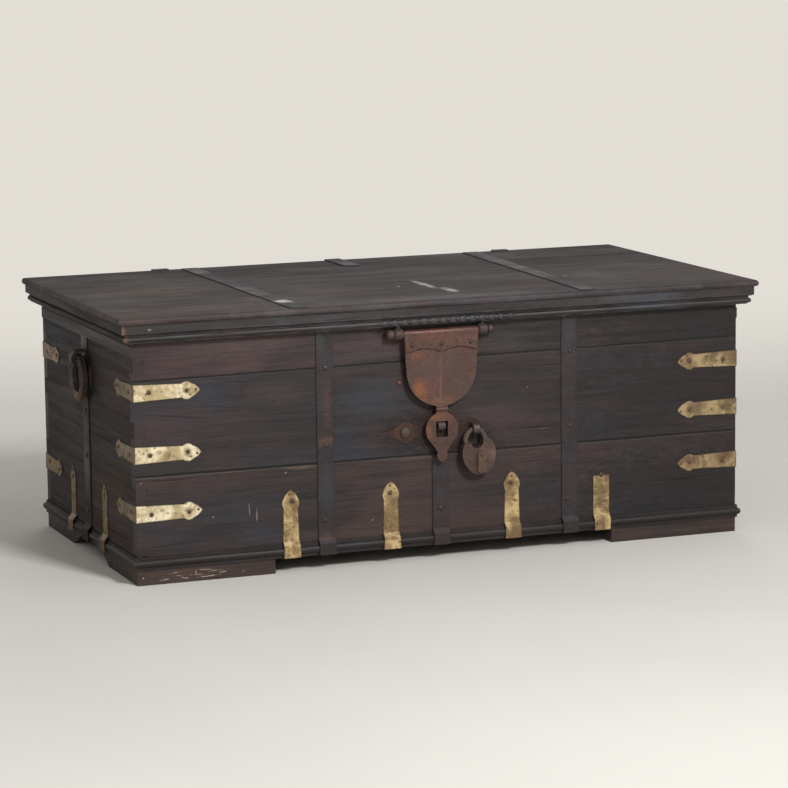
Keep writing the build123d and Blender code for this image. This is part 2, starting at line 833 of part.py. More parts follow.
with BuildPart() as hasp_shield:
    shield_top = hasp_rod_z - hasp_rod_radius - wrap_thickness - shield_top_gap
    shield_radius = shield_width / 2
    shield_bottom = hasp_rod_z - shield_length
    shield_shoulder_z = shield_bottom + shield_radius
    with BuildSketch(front_plane(shield_back, lock_x)):
        with BuildLine():
            Polyline(
                (-shield_radius, shield_shoulder_z),
                (-shield_top_width / 2, shield_top),
                (shield_top_width / 2, shield_top),
                (shield_radius, shield_shoulder_z),
            )
            ThreePointArc(
                (shield_radius, shield_shoulder_z),
                (0, shield_bottom),
                (-shield_radius, shield_shoulder_z),
            )
        make_face()
        with Locations((0, (shield_bottom + drop_pin_z) / 2)):
            Rectangle(drop_tab_width, shield_bottom - drop_pin_z + shield_thickness)
    extrude(amount=shield_thickness)
    with BuildSketch(front_section(lock_x)):
        with Locations((drop_axis_out, drop_pin_z)):
            Circle(drop_knuckle_radius)
    extrude(amount=drop_middle_knuckle / 2, both=True)
    outer_drop_knuckle = (drop_tab_width - drop_middle_knuckle) / 2
    for sign in (-1, 1):
        side_x = lock_x + sign * (drop_middle_knuckle + outer_drop_knuckle) / 2
        with BuildSketch(front_section(side_x)):
            with Locations((drop_axis_out, drop_pin_z)):
                Circle(drop_knuckle_radius + hinge_side_gap)
        extrude(amount=outer_drop_knuckle / 2, both=True, mode=Mode.SUBTRACT)
    with BuildSketch(front_section(lock_x)):
        with Locations((drop_axis_out, drop_pin_z)):
            Circle(drop_pin_radius + hinge_running_clearance)
    extrude(amount=drop_tab_width, both=True, mode=Mode.SUBTRACT)
finish(hasp_shield, "hasp_shield")

with BuildPart() as hasp_wrap:
    barrel_radius = hasp_rod_radius + hinge_running_clearance + wrap_thickness
    with BuildSketch(front_section(lock_x)):
        with Locations((hasp_rod_standoff, hasp_rod_z)):
            Circle(barrel_radius)
            Circle(barrel_radius - wrap_thickness, mode=Mode.SUBTRACT)
    extrude(amount=shield_top_width / 2, both=True)
    wrap_low = hasp_rod_z - wrap_drop
    half_wrap = shield_top_width / 2
    taper = (shield_top_width - shield_width) / 2 * wrap_drop / (shield_top - shield_shoulder_z)
    with BuildSketch(front_plane(shield_front, lock_x)):
        with BuildLine():
            Polyline(
                (-half_wrap + taper, wrap_low),
                (-half_wrap, hasp_rod_z),
                (half_wrap, hasp_rod_z),
                (half_wrap - taper, wrap_low),
            )
            ThreePointArc(
                (half_wrap - taper, wrap_low),
                (half_wrap / 2, wrap_low + wrap_cusp),
                (0, wrap_low),
            )
            ThreePointArc(
                (0, wrap_low),
                (-half_wrap / 2, wrap_low + wrap_cusp),
                (-half_wrap + taper, wrap_low),
            )
        make_face()
    extrude(amount=wrap_thickness)
finish(hasp_wrap, "hasp_wrap")

with BuildPart() as hasp_rivets:
    for step in (-1, 0, 1):
        rivet_x = lock_x + step * rivet_spread
        seat = front_plane(shield_front + wrap_thickness, rivet_x, hasp_rod_z - rivet_drop)
        add(nail_head(seat, rivet_radius, rivet_height))
finish(hasp_rivets, "hasp_rivets")


# ---------------------------------------------------------------- drop plate under the hasp
with BuildPart() as drop_plate:
    shoulder = drop_plate_radius * sin(radians(drop_shoulder_angle))
    tab_height = drop_pin_z - drop_plate_z
    with BuildSketch(front_plane(shield_back, lock_x, drop_plate_z)):
        Circle(drop_plate_radius)
        with Locations((0, tab_height / 2)):
            Rectangle(drop_tab_width, tab_height)
        with BuildLine():
            Polyline(
                (-drop_tip_neck, -drop_tip_neck_down),
                (-shoulder, -shoulder),
                (shoulder, -shoulder),
                (drop_tip_neck, -drop_tip_neck_down),
            )
            ThreePointArc(
                (drop_tip_neck, -drop_tip_neck_down),
                (drop_tip_lobe, -drop_tip_lobe_down),
                (0, -drop_tip_length),
            )
            ThreePointArc(
                (0, -drop_tip_length),
                (-drop_tip_lobe, -drop_tip_lobe_down),
                (-drop_tip_neck, -drop_tip_neck_down),
            )
        make_face()
        Rectangle(drop_hole_width, drop_hole_height, mode=Mode.SUBTRACT)
    extrude(amount=shield_thickness)
    for sign in (-1, 1):
        side_x = lock_x + sign * (drop_middle_knuckle + outer_drop_knuckle) / 2
        with BuildSketch(front_section(side_x)):
            with Locations((drop_axis_out, drop_pin_z)):
                Circle(drop_knuckle_radius)
        extrude(amount=outer_drop_knuckle / 2, both=True)
    with BuildSketch(front_section(lock_x)):
        with Locations((drop_axis_out, drop_pin_z)):
            Circle(drop_knuckle_radius + hinge_side_gap)
    extrude(amount=drop_middle_knuckle / 2 + hinge_side_gap, both=True, mode=Mode.SUBTRACT)
    with BuildSketch(front_section(lock_x)):
        with Locations((drop_axis_out, drop_pin_z)):
            Circle(drop_pin_radius + hinge_running_clearance)
    extrude(amount=drop_tab_width, both=True, mode=Mode.SUBTRACT)
finish(drop_plate, "drop_plate")

with BuildPart() as drop_pin:
    with BuildSketch(front_section(lock_x)):
        with Locations((drop_axis_out, drop_pin_z)):
            Circle(drop_pin_radius)
    extrude(amount=drop_tab_width / 2 + drop_pin_radius / 2, both=True)
finish(drop_pin, "drop_pin")


# ---------------------------------------------------------------- lock plate and its staples
with BuildPart() as lock_plate:
    with BuildSketch(front_plane(0, lock_x, lock_plate_z)):
        Circle(lock_disc_radius)
        Rectangle(2 * lock_lobe_spacing, lock_lobe_radius)
        with Locations((-lock_lobe_spacing, 0), (lock_lobe_spacing, 0)):
            Circle(lock_lobe_radius)
        with BuildLine():
            Polyline(
                (-lock_lobe_spacing, lock_lobe_radius),
                (-lock_point_start, lock_point_half_width),
                (-lock_point_length, 0),
                (-lock_point_start, -lock_point_half_width),
                (-lock_lobe_spacing, -lock_lobe_radius),
                close=True,
            )
        make_face()
    extrude(amount=lock_plate_thickness)
finish(lock_plate, "lock_plate")

with BuildPart() as lock_nail:
    nail_seat = front_plane(lock_plate_thickness, lock_x - lock_lobe_spacing, lock_plate_z)
    add(nail_head(nail_seat, lock_nail_radius, lock_nail_height))
finish(lock_nail, "lock_nail")

with BuildPart() as hasp_staple:
    hasp_staple_z = drop_plate_z + drop_hole_height / 2 - hasp_staple_top_gap - hasp_staple_height / 2
    hasp_staple_tip = shield_back + hasp_staple_past_drop
    with BuildSketch(front_section(lock_x)):
        add(loop_section(hasp_staple_tip, hasp_staple_height, hasp_staple_bar, hasp_staple_z))
        Rectangle(2 * lock_plate_thickness, 4 * hasp_staple_z, mode=Mode.SUBTRACT)
    extrude(amount=hasp_staple_width / 2, both=True)
finish(hasp_staple, "hasp_staple")

padlock_x = lock_x + lock_lobe_spacing
padlock_staple_height = padlock_staple_hole + 2 * padlock_staple_bar
padlock_staple_tip = padlock_standoff + padlock_staple_height / 2
with BuildPart() as padlock_staple:
    with BuildSketch(front_section(padlock_x)):
        add(loop_section(padlock_staple_tip, padlock_staple_height, padlock_staple_bar, lock_plate_z))
        Rectangle(2 * lock_plate_thickness, 4 * lock_plate_z, mode=Mode.SUBTRACT)
    extrude(amount=padlock_staple_width / 2, both=True)
finish(padlock_staple, "padlock_staple")


# ---------------------------------------------------------------- padlock, hung from the right staple
tilt = radians(padlock_tilt)
padlock_across = Vector(cos(tilt), 0, sin(tilt))
padlock_up = Vector(-sin(tilt), 0, cos(tilt))
shackle_inner_radius = shackle_radius - shackle_bar_radius
shackle_sag = shackle_inner_radius - sqrt(shackle_inner_radius**2 - (padlock_staple_width / 2) ** 2)
padlock_staple_floor = lock_plate_z - padlock_staple_hole / 2
shackle_top_z = padlock_staple_floor + shackle_bar_radius + shackle_sag + hanging_gap
shackle_centre_z = shackle_top_z - shackle_radius
pin_drop = shackle_pin_drop


def padlock_plane(outward):
    """The padlock's tilted face plane, its origin at the centre of the shackle's arch."""
    origin = (padlock_x, -(half_depth + outward), shackle_centre_z)
    return Plane(origin=origin, x_dir=padlock_across, z_dir=(0, -1, 0))


with BuildPart() as shackle:
    with BuildLine(padlock_plane(padlock_standoff)) as shackle_path:
        Line((-shackle_radius, -shackle_leg), (-shackle_radius, 0))
        ThreePointArc((-shackle_radius, 0), (0, shackle_radius), (shackle_radius, 0))
    shackle_foot = padlock_plane(padlock_standoff).from_local_coords(Vector(-shackle_radius, -shackle_leg, 0))
    with BuildSketch(Plane(origin=shackle_foot, x_dir=padlock_across, z_dir=padlock_up)):
        half_turn = 180 / shackle_bar_sides
        RegularPolygon(shackle_bar_radius, shackle_bar_sides, major_radius=False, rotation=half_turn)
    sweep(path=shackle_path.wire())
    with BuildSketch(padlock_plane(padlock_standoff)):
        with Locations((shackle_radius, -pin_drop / 2)):
            Rectangle(2 * shackle_bar_radius, pin_drop)
        with Locations((shackle_radius, -pin_drop)):
            Circle(shackle_lug_radius)
    extrude(amount=shackle_bar_radius, both=True)
    with BuildSketch(padlock_plane(padlock_standoff)):
        with Locations((shackle_radius, -pin_drop)):
            Circle(shackle_pin_radius + hinge_running_clearance)
    extrude(amount=padlock_thickness, both=True, mode=Mode.SUBTRACT)
finish(shackle, "shackle")

with BuildPart() as padlock_body:
    with BuildSketch(padlock_plane(padlock_standoff)):
        with BuildLine():
            Line((0, -padlock_length), (0, -padlock_shoulder))
            Line((0, -padlock_shoulder), (padlock_shoulder_half_width, -padlock_shoulder))
            ThreePointArc(
                (padlock_shoulder_half_width, -padlock_shoulder),
                (padlock_half_width, -padlock_waist_drop),
                (padlock_hip_half_width, -padlock_hip_drop),
            )
            ThreePointArc(
                (padlock_hip_half_width, -padlock_hip_drop),
                (padlock_belly_half_width, -padlock_belly_drop),
                (0, -padlock_length),
            )
        make_face()
        mirror(about=Plane.YZ)
        with Locations((0, -padlock_shoulder)):
            Circle(padlock_notch_radius, mode=Mode.SUBTRACT)
    extrude(amount=padlock_thickness / 2, both=True)
    slot_low = pin_drop + shackle_lug_radius + 2 * shackle_side_gap
    with BuildSketch(padlock_plane(padlock_standoff)):
        with Locations((padlock_half_width, -slot_low / 2)):
            Rectangle(2 * padlock_half_width, slot_low)
    extrude(amount=shackle_bar_radius + shackle_side_gap, both=True, mode=Mode.SUBTRACT)
    with BuildSketch(padlock_plane(padlock_standoff)):
        with Locations((shackle_radius, -pin_drop)):
            Circle(shackle_pin_radius)
    extrude(amount=padlock_thickness / 2, both=True)
    hole_mouth = padlock_plane(padlock_standoff).origin - padlock_up * padlock_shoulder
    with BuildSketch(Plane(origin=hole_mouth, x_dir=padlock_across, z_dir=padlock_up)):
        with Locations((-shackle_radius, 0)):
            Circle(shackle_bar_radius + shackle_hole_clearance)
    extrude(amount=-(shackle_leg - padlock_shoulder + shackle_hole_clearance), mode=Mode.SUBTRACT)
    cover_seat = padlock_standoff + padlock_thickness / 2
    pin_length = key_cover_gap + key_cover_thickness + key_cover_gap
    with BuildSketch(padlock_plane(cover_seat)):
        with Locations((key_cover_side, -key_cover_pin_down)):
            Circle(key_cover_pin_radius)
    extrude(amount=pin_length)
    with BuildSketch(padlock_plane(cover_seat + pin_length)):
        with Locations((key_cover_side, -key_cover_pin_down)):
            Circle(key_cover_head_radius)
    extrude(amount=key_cover_head_thickness)
finish(padlock_body, "padlock_body")

with BuildPart() as key_cover:
    cover_pin = padlock_plane(0).from_local_coords(Vector(key_cover_side, -key_cover_pin_down, 0))
    with BuildSketch(front_plane(cover_seat + key_cover_gap)):
        cover_body = key_cover_length - key_cover_width / 2
        with Locations((cover_pin.X, cover_pin.Z)):
            Circle(key_cover_width / 2)
            with Locations((0, -cover_body / 2)):
                Rectangle(key_cover_width, cover_body)
            Circle(key_cover_pin_radius + hinge_running_clearance, mode=Mode.SUBTRACT)
    extrude(amount=key_cover_thickness)
    fillet(key_cover.edges().filter_by(Axis.Y).group_by(Axis.Z)[0], key_cover_width / 4)
finish(key_cover, "key_cover")


# ---------------------------------------------------------------- ring handles on the ends
ring_top_z = ring_z + ring_centre_radius
handle_staple_radius = ring_tube_radius + handle_staple_clearance + handle_staple_bar
ring_inner_radius = ring_centre_radius - ring_tube_radius
ring_sag = ring_inner_radius - sqrt(ring_inner_radius**2 - (handle_staple_width / 2) ** 2)
handle_staple_z = ring_top_z + handle_staple_clearance - hanging_gap - ring_sag


def end_section(side):
    """A section plane across an end: sketch X outward from the end wall, sketch Y up."""
    plane = side_plane((side, 0, 0), half_length)
    return Plane(origin=plane.origin + Vector(0, end_strap_y, 0), x_dir=plane.x_dir, z_dir=plane.z_dir)


def handle_ring(side):
    """A ring that hangs flat against the end, its bar ridged all along."""
    plane = end_section(side)
    centre = plane.from_local_coords(Vector(ring_standoff, ring_z, 0))
    ridges = []
    for step in range(2 * ring_ridges):
        turn = radians(180 * step / ring_ridges)
        reach = ring_tube_radius - ring_groove * (step % 2)
        ridges.append((ring_standoff + reach * cos(turn), ring_top_z + reach * sin(turn)))
    with BuildPart() as ring:
        with BuildSketch(plane):
            with BuildLine():
                Polyline(*ridges, close=True)
            make_face()
        revolve(axis=Axis(centre, plane.x_dir))
    return ring


for end, side in (("left", -1), ("right", 1)):
    finish(handle_ring(side), "ring_" + end)

with BuildPart() as handle_staples:
    for side in (-1, 1):
        reach = ring_standoff + handle_staple_radius + handle_staple_slack
        with BuildSketch(end_section(side)):
            add(loop_section(reach, 2 * handle_staple_radius, handle_staple_bar, handle_staple_z))
            Rectangle(2 * strap_thickness, 4 * ring_top_z, mode=Mode.SUBTRACT)
        extrude(amount=handle_staple_width / 2, both=True)
finish(handle_staples, "handle_staples")
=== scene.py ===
import math
import random

import bmesh
import bpy
from mathutils import Matrix, Vector


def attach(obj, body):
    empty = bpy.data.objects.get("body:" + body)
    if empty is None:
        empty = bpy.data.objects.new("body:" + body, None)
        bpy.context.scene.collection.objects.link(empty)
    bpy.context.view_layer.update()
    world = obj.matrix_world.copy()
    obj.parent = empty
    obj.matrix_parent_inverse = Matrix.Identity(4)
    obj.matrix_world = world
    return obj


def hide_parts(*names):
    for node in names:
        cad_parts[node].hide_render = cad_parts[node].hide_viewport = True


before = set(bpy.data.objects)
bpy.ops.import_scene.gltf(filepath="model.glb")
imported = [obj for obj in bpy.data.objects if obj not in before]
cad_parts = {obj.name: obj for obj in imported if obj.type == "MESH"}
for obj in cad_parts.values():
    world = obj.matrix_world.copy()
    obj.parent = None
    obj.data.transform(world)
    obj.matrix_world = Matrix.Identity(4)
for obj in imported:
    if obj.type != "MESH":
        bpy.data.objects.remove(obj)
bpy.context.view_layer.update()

# ---------------------------------------------------------------- sizes shared with the CAD, in metres
HALF_LENGTH = 0.600
HALF_DEPTH = 0.302
LID_TOP = 0.4895
FOOT_TOP = 0.028
STRAP_THICKNESS = 0.002
BRASS_THICKNESS = 0.0014
LOCK_X = -0.014
LOCK_Z = 0.243
LEFT_HEIGHTS = (0.131, 0.238, 0.351)
RIGHT_HEIGHTS = (0.142, 0.245, 0.338)
BACK_HEIGHTS = (0.131, 0.352)
FRONT_STRAP_X = (-0.238, 0.250)
CENTRE_STRAP_X = -0.012
BASE_STRAP_X = (-0.307, -0.111, 0.132, 0.316)
END_BASE_STRAP_Y = (-0.105, 0.108)
END_STRAP_Y = 0.006
SHIELD_FACE_Y = -0.31905
SHIELD_RADIUS = 0.069
SHIELD_SHOULDER_Z = 0.3595
WRAP_FACE_Y = -0.32105
HINGE_X = (-0.352, 0.013, 0.378)
HINGE_LEAF = 0.0025
LOCK_PLATE = 0.0025
LOCK_NAIL_REACH = 0.067
RIVET_SPREAD = 0.058
RIVET_Z = 0.407
PADLOCK_FACE_Y = -0.336
FOOT_FACE_Y = -0.310
RING_X = 0.6135
BEAD_SPAN = (-0.135, 0.133)
BEAD_REACH = 0.0176
BEAD_Z = 0.4503

# Nails of the brass straps: distance from the strap's foot and share of the full head size
CORNER_NAILS = ((0.028, 1.0), (0.099, 0.95), (0.1165, 0.55))
BASE_NAILS = ((0.024, 0.9), (0.105, 1.15), (0.1175, 0.5))
NAIL_SIDES = 14
FRONT_NAILS_Z = (0.092, 0.232, 0.374, 0.440)
CENTRE_NAIL_Z = 0.096
END_NAILS_Z = (0.085, 0.190, 0.275)
HINGE_NAILS_Z = (0.355, 0.395, 0.435)
RUSTY_NAIL = (-0.091, -HALF_DEPTH, 0.336)

# The ways that the front and the back face
FRONT = (0, -1, 0)
BACK = (0, 1, 0)

# Marks below these half sizes get a finer ragged edge
SMALL_MARK = 0.006
THIN_MARK = 0.004

# ---------------------------------------------------------------- camera found from the chest's own edges
PHOTO_SIZE = 788
FOCAL_PIXELS = 3280.4
SENSOR_MM = 36.0
CAMERA_PLACE = Vector((-2.2515, -5.8525, 1.2781))
CAMERA_YAW = -0.3695
CAMERA_PITCH = -0.1602
CAMERA_ROLL = -0.0118

# The round studio floor in metres, and where its colour turns even
BOWL_RADIUS = 8.5
BOWL_BEND = 2.0
BOWL_HEIGHT = 6.0
BOWL_SECTORS = 96
BOWL_STEPS = 12
EVEN_FROM = 1.3
EVEN_BY = 3.8


def srgb(red, green, blue):
    """A linear colour from 0-255 screen values."""
    linear = []
    for part in (red, green, blue):
        share = part / 255
        linear.append(share / 12.92 if share <= 0.04045 else ((share + 0.055) / 1.055) ** 2.4)
    return (*linear, 1.0)


# ---------------------------------------------------------------- materials
def even(frequency):
    """The same frequency along each axis."""
    return (frequency, frequency, frequency)


def grain(axis, along, across):
    """Frequencies stretched along one axis."""
    return tuple(along if index == "xyz".index(axis) else across for index in range(3))


class Surface:
    """A node material under construction, with object coordinates as its place."""

    def __init__(self, name, seed=0):
        self.material = bpy.data.materials.new(name)
        self.material.use_nodes = True
        self.tree = self.material.node_tree
        self.shader = self.tree.nodes["Principled BSDF"]
        self.place = self.tree.nodes.new("ShaderNodeTexCoord").outputs["Object"]
        self.seed = seed
        self.broken = None
        self.crumbs = None

    def feed(self, socket, value):
        """Links a socket, or sets it when the value is plain."""
        if isinstance(value, bpy.types.NodeSocket):
            self.tree.links.new(value, socket)
        else:
            socket.default_value = value

    def node(self, kind, inputs):
        """A new shader node with its inputs linked or set."""
        node = self.tree.nodes.new("ShaderNode" + kind)
        for name, value in inputs.items():
            self.feed(node.inputs[name], value)
        return node

    def math(self, operation, first, second=0.0):
        """One math node."""
        node = self.node("Math", {0: first, 1: second})
        node.operation = operation
        return node.outputs[0]

    def times(self, first, second):
        """The product of two values."""
        return self.math("MULTIPLY", first, second)

    def plus(self, first, second):
        """The sum of two values."""
        return self.math("ADD", first, second)

    def minus(self, first, second):
        """The first value less the second."""
        return self.math("SUBTRACT", first, second)

    def mix(self, share, first, second):
        """Two colours mixed by a share."""
        node = self.tree.nodes.new("ShaderNodeMix")
        node.data_type = "RGBA"
        self.feed(node.inputs[0], share)
        self.feed(node.inputs[6], first)
        self.feed(node.inputs[7], second)
        return node.outputs[2]

    def band(self, value, low, high, to_low=0.0, to_high=1.0):
        """A value stretched from one range to another, clamped and smooth."""
        ends = {"From Min": low, "From Max": high, "To Min": to_low, "To Max": to_high}
        node = self.node("MapRange", {"Value": value, **ends})
        node.interpolation_type = "SMOOTHSTEP"
        return node.outputs["Result"]

    def mapped(self, stretch, shift=0.0):
        """Object coordinates scaled by axis and moved by the seed."""
        offset = self.seed * 3.7 + shift
        location = (offset, offset * 1.3, offset * 0.7)
        node = self.node("Mapping", {"Vector": self.place, "Scale": stretch, "Location": location})
        return node.outputs["Vector"]

    def noise(self, stretch, detail=4.0, roughness=0.55, distortion=0.0, shift=0.0):
        """Noise with its own frequency along each axis."""
        place = self.mapped(stretch, shift)
        kind = {"Detail": detail, "Roughness": roughness, "Distortion": distortion}
        return self.node("TexNoise", {"Vector": place, "Scale": 1.0, **kind}).outputs["Fac"]

    def cells(self, size, shift=0.0):
        """Distance to scattered points, for pits and spots."""
        place = self.mapped(even(size), shift)
        return self.node("TexVoronoi", {"Vector": place, "Scale": 1.0}).outputs["Distance"]

    def reach(self, vector):
        """The length of a vector."""
        node = self.node("VectorMath", {0: vector})
        node.operation = "LENGTH"
        return node.outputs["Value"]

    def axis(self, name):
        """One object coordinate."""
        return self.node("SeparateXYZ", {0: self.place}).outputs[name]

    def spot(self, centre, half, turn=0.0):
        """A mask of a stretched round mark, soft where it is large and broken along its edge."""
        rotation = (0.0, 0.0, turn) if half[2] > half[1] else (0.0, -turn, 0.0)
        around = {"Location": centre, "Rotation": rotation, "Scale": half}
        node = self.node("Mapping", {"Vector": self.place, **around})
        node.vector_type = "TEXTURE"
        if self.broken is None:
            self.broken = self.noise((60.0, 60.0, 150.0), detail=6.0, roughness=0.75, shift=70.0)
            self.crumbs = self.noise((210.0, 210.0, 380.0), detail=4.0, roughness=0.7, shift=72.0)
        small = max(half) < SMALL_MARK or min(half) < THIN_MARK
        ragged, swing, core = (self.crumbs, 2.6, 0.6) if small else (self.broken, 2.2, 0.1)
        drift = self.times(self.minus(ragged, 0.5), swing)
        away = self.plus(self.reach(node.outputs["Vector"]), drift)
        return self.band(away, core, 1.15, 1.0, 0.0)

    def stain(self, colour, marks):
        """The colour under its marks: centre, half sizes, turn in degrees, colour and strength of each."""
        for centre, half, turn, mark_colour, strength in marks:
            mask = self.times(self.spot(centre, half, math.radians(turn)), strength)
            colour = self.mix(mask, colour, srgb(*mark_colour))
        return colour

    def edges(self, radius):
        """A mask that is 1 on the piece's own edges."""
        bevel = self.node("Bevel", {"Radius": radius})
        bevel.samples = 4
        geometry = self.node("NewGeometry", {})
        dot = self.node("VectorMath", {0: bevel.outputs[0], 1: geometry.outputs["Normal"]})
        dot.operation = "DOT_PRODUCT"
        return self.band(self.minus(1.0, dot.outputs["Value"]), 0.02, 0.25)

    def bump(self, height, strength, distance):
        """Relief from a height value."""
        node = self.node("Bump", {"Strength": strength, "Distance": distance, "Height": height})
        self.feed(self.shader.inputs["Normal"], node.outputs["Normal"])

    def finish(self, colour, roughness, metallic=0.0):
        """Feeds the shader and hands the material over."""
        self.feed(self.shader.inputs["Base Color"], colour)
        self.feed(self.shader.inputs["Roughness"], roughness)
        self.feed(self.shader.inputs["Metallic"], metallic)
        return self.material


def wood(name, axis, seed, tones, warm_share=0.5, cool_share=0.5, seams=(), edge_colour=None,
         edge_amount=0.7, dust=0.0, marks=(), shine=(0.44, 0.66), specular=0.35):
    """Old oiled timber: streaked grain, warm and blue-grey areas, cracks, dark seams and worn edges.

    The tones are those of the dark streaks, the main colour, the warm areas and the cool ones.
    """
    board = Surface(name, seed)
    dark, main, warm, cool = (srgb(*tone) for tone in tones)
    streaks = board.noise(grain(axis, 2.6, 64.0), detail=8.0, roughness=0.7, distortion=0.6)
    fine = board.noise(grain(axis, 14.0, 330.0), detail=6.0, roughness=0.7, shift=2.0)
    pores = board.noise(grain(axis, 38.0, 620.0), detail=2.0, shift=5.0)
    areas = board.noise(grain(axis, 2.4, 6.5), detail=3.0, roughness=0.6, distortion=0.4, shift=9.0)
    patches = board.noise(grain(axis, 3.3, 9.0), detail=4.0, roughness=0.65, shift=14.0)
    split = board.noise(grain(axis, 1.6, 75.0), detail=3.0, roughness=0.5, distortion=0.3, shift=21.0)
    colour = board.mix(board.band(streaks, 0.36, 0.62), dark, main)
    warm_mask = board.times(board.band(areas, 0.42, 0.62), warm_share)
    colour = board.mix(warm_mask, colour, warm)
    cool_mask = board.times(board.band(patches, 0.5, 0.66), cool_share)
    colour = board.mix(cool_mask, colour, cool)
    colour = board.mix(board.band(fine, 0.46, 0.66, 0.0, 0.55), colour, dark)
    grit = board.noise(even(260.0), detail=3.0, roughness=0.7, shift=75.0)
    colour = board.mix(board.band(grit, 0.5, 0.75, 0.0, 0.3), colour, cool)
    colour = board.mix(board.band(pores, 0.6, 0.75, 0.0, 0.45), colour, dark)
    if dust:
        haze = board.noise(even(5.0), detail=6.0, roughness=0.7, shift=33.0)
        haze_mask = board.band(haze, 0.45, 0.72, 0.0, dust)
        colour = board.mix(haze_mask, colour, srgb(126, 119, 118))
    cracks = board.times(board.band(split, 0.655, 0.675), board.band(areas, 0.5, 0.56))
    lines = cracks
    for start, slope, width in seams:
        drift = board.noise(grain(axis, 12.0, 1.0), detail=3.0, shift=40.0 + start)
        wobble = board.times(board.minus(drift, 0.5), 0.003)
        level = board.plus(board.times(board.axis("X"), slope), start)
        rise = board.minus(board.axis("Z"), board.plus(level, wobble))
        away = board.math("ABSOLUTE", rise)
        lines = board.math("MAXIMUM", lines, board.band(away, width * 0.35, width, 1.0, 0.0))
    if edge_colour:
        broken = board.noise(even(30.0), detail=4.0, shift=50.0)
        worn = board.times(board.edges(0.004), board.band(broken, 0.38, 0.62))
        colour = board.mix(board.times(worn, edge_amount), colour, srgb(*edge_colour))
    rubbed = board.noise(grain(axis, 24.0, 190.0), detail=5.0, roughness=0.75, shift=80.0)
    colour = board.mix(board.band(rubbed, 0.56, 0.72, 0.0, 0.5), colour, warm)
    scratch = board.noise(grain(axis, 5.0, 900.0), detail=2.0, distortion=0.2, shift=60.0)
    colour = board.mix(board.band(scratch, 0.66, 0.72, 0.0, 0.28), colour, main)
    swell = board.noise(even(3.5), detail=4.0, roughness=0.6, shift=65.0)
    colour = board.mix(board.band(swell, 0.35, 0.65, 0.32, 0.0), colour, dark)
    colour = board.stain(colour, marks)
    colour = board.mix(board.times(lines, 0.95), colour, srgb(10, 8, 8))
    height = board.minus(board.times(streaks, 0.9), board.times(fine, 0.35))
    height = board.minus(height, board.times(lines, 1.4))
    board.bump(height, 0.55, 0.0016)
    roughness = board.band(streaks, 0.3, 0.7, *shine)
    board.shader.inputs["Specular IOR Level"].default_value = specular
    return board.finish(colour, roughness)


def iron(name, seed, tones, shares=(0.6, 0.4), marks=(), rim=None):
    """Forged iron in base, rust and pale tones: mottled patina, rust in patches, pits and a beaten face."""
    metal = Surface(name, seed)
    base, rust, pale = (srgb(*tone) for tone in tones)
    rust_share, pale_share = shares
    mottle = metal.noise(even(17.0), detail=6.0, roughness=0.65)
    blotch = metal.noise(even(42.0), detail=5.0, roughness=0.6, distortion=0.5, shift=3.0)
    grit = metal.noise(even(330.0), detail=3.0, shift=7.0)
    sheen = metal.noise(even(9.0), detail=3.0, shift=11.0)
    pits = metal.band(metal.cells(120.0), 0.0, 0.34, 1.0, 0.0)
    rust_mask = metal.times(metal.band(mottle, 0.4, 0.62), rust_share)
    colour = metal.mix(rust_mask, base, rust)
    pale_mask = metal.times(metal.band(blotch, 0.5, 0.68), pale_share)
    colour = metal.mix(pale_mask, colour, pale)
    colour = metal.mix(metal.band(grit, 0.45, 0.75, 0.0, 0.4), colour, srgb(24, 19, 19))
    colour = metal.mix(metal.times(pits, 0.5), colour, srgb(20, 15, 14))
    colour = metal.stain(colour, marks)
    # A pale rim tone paints highlights along the piece's edges; the wrap's dark rim paints shade along its
    # edges
    if rim:
        colour = metal.mix(metal.times(metal.edges(0.002), 0.6), colour, srgb(*rim))
    height = metal.minus(metal.times(blotch, 1.2), metal.times(pits, 0.5))
    height = metal.plus(height, metal.times(grit, 0.3))
    metal.bump(height, 0.6, 0.0011)
    roughness = metal.band(sheen, 0.3, 0.7, 0.4, 0.68)
    return metal.finish(colour, roughness, 0.4)


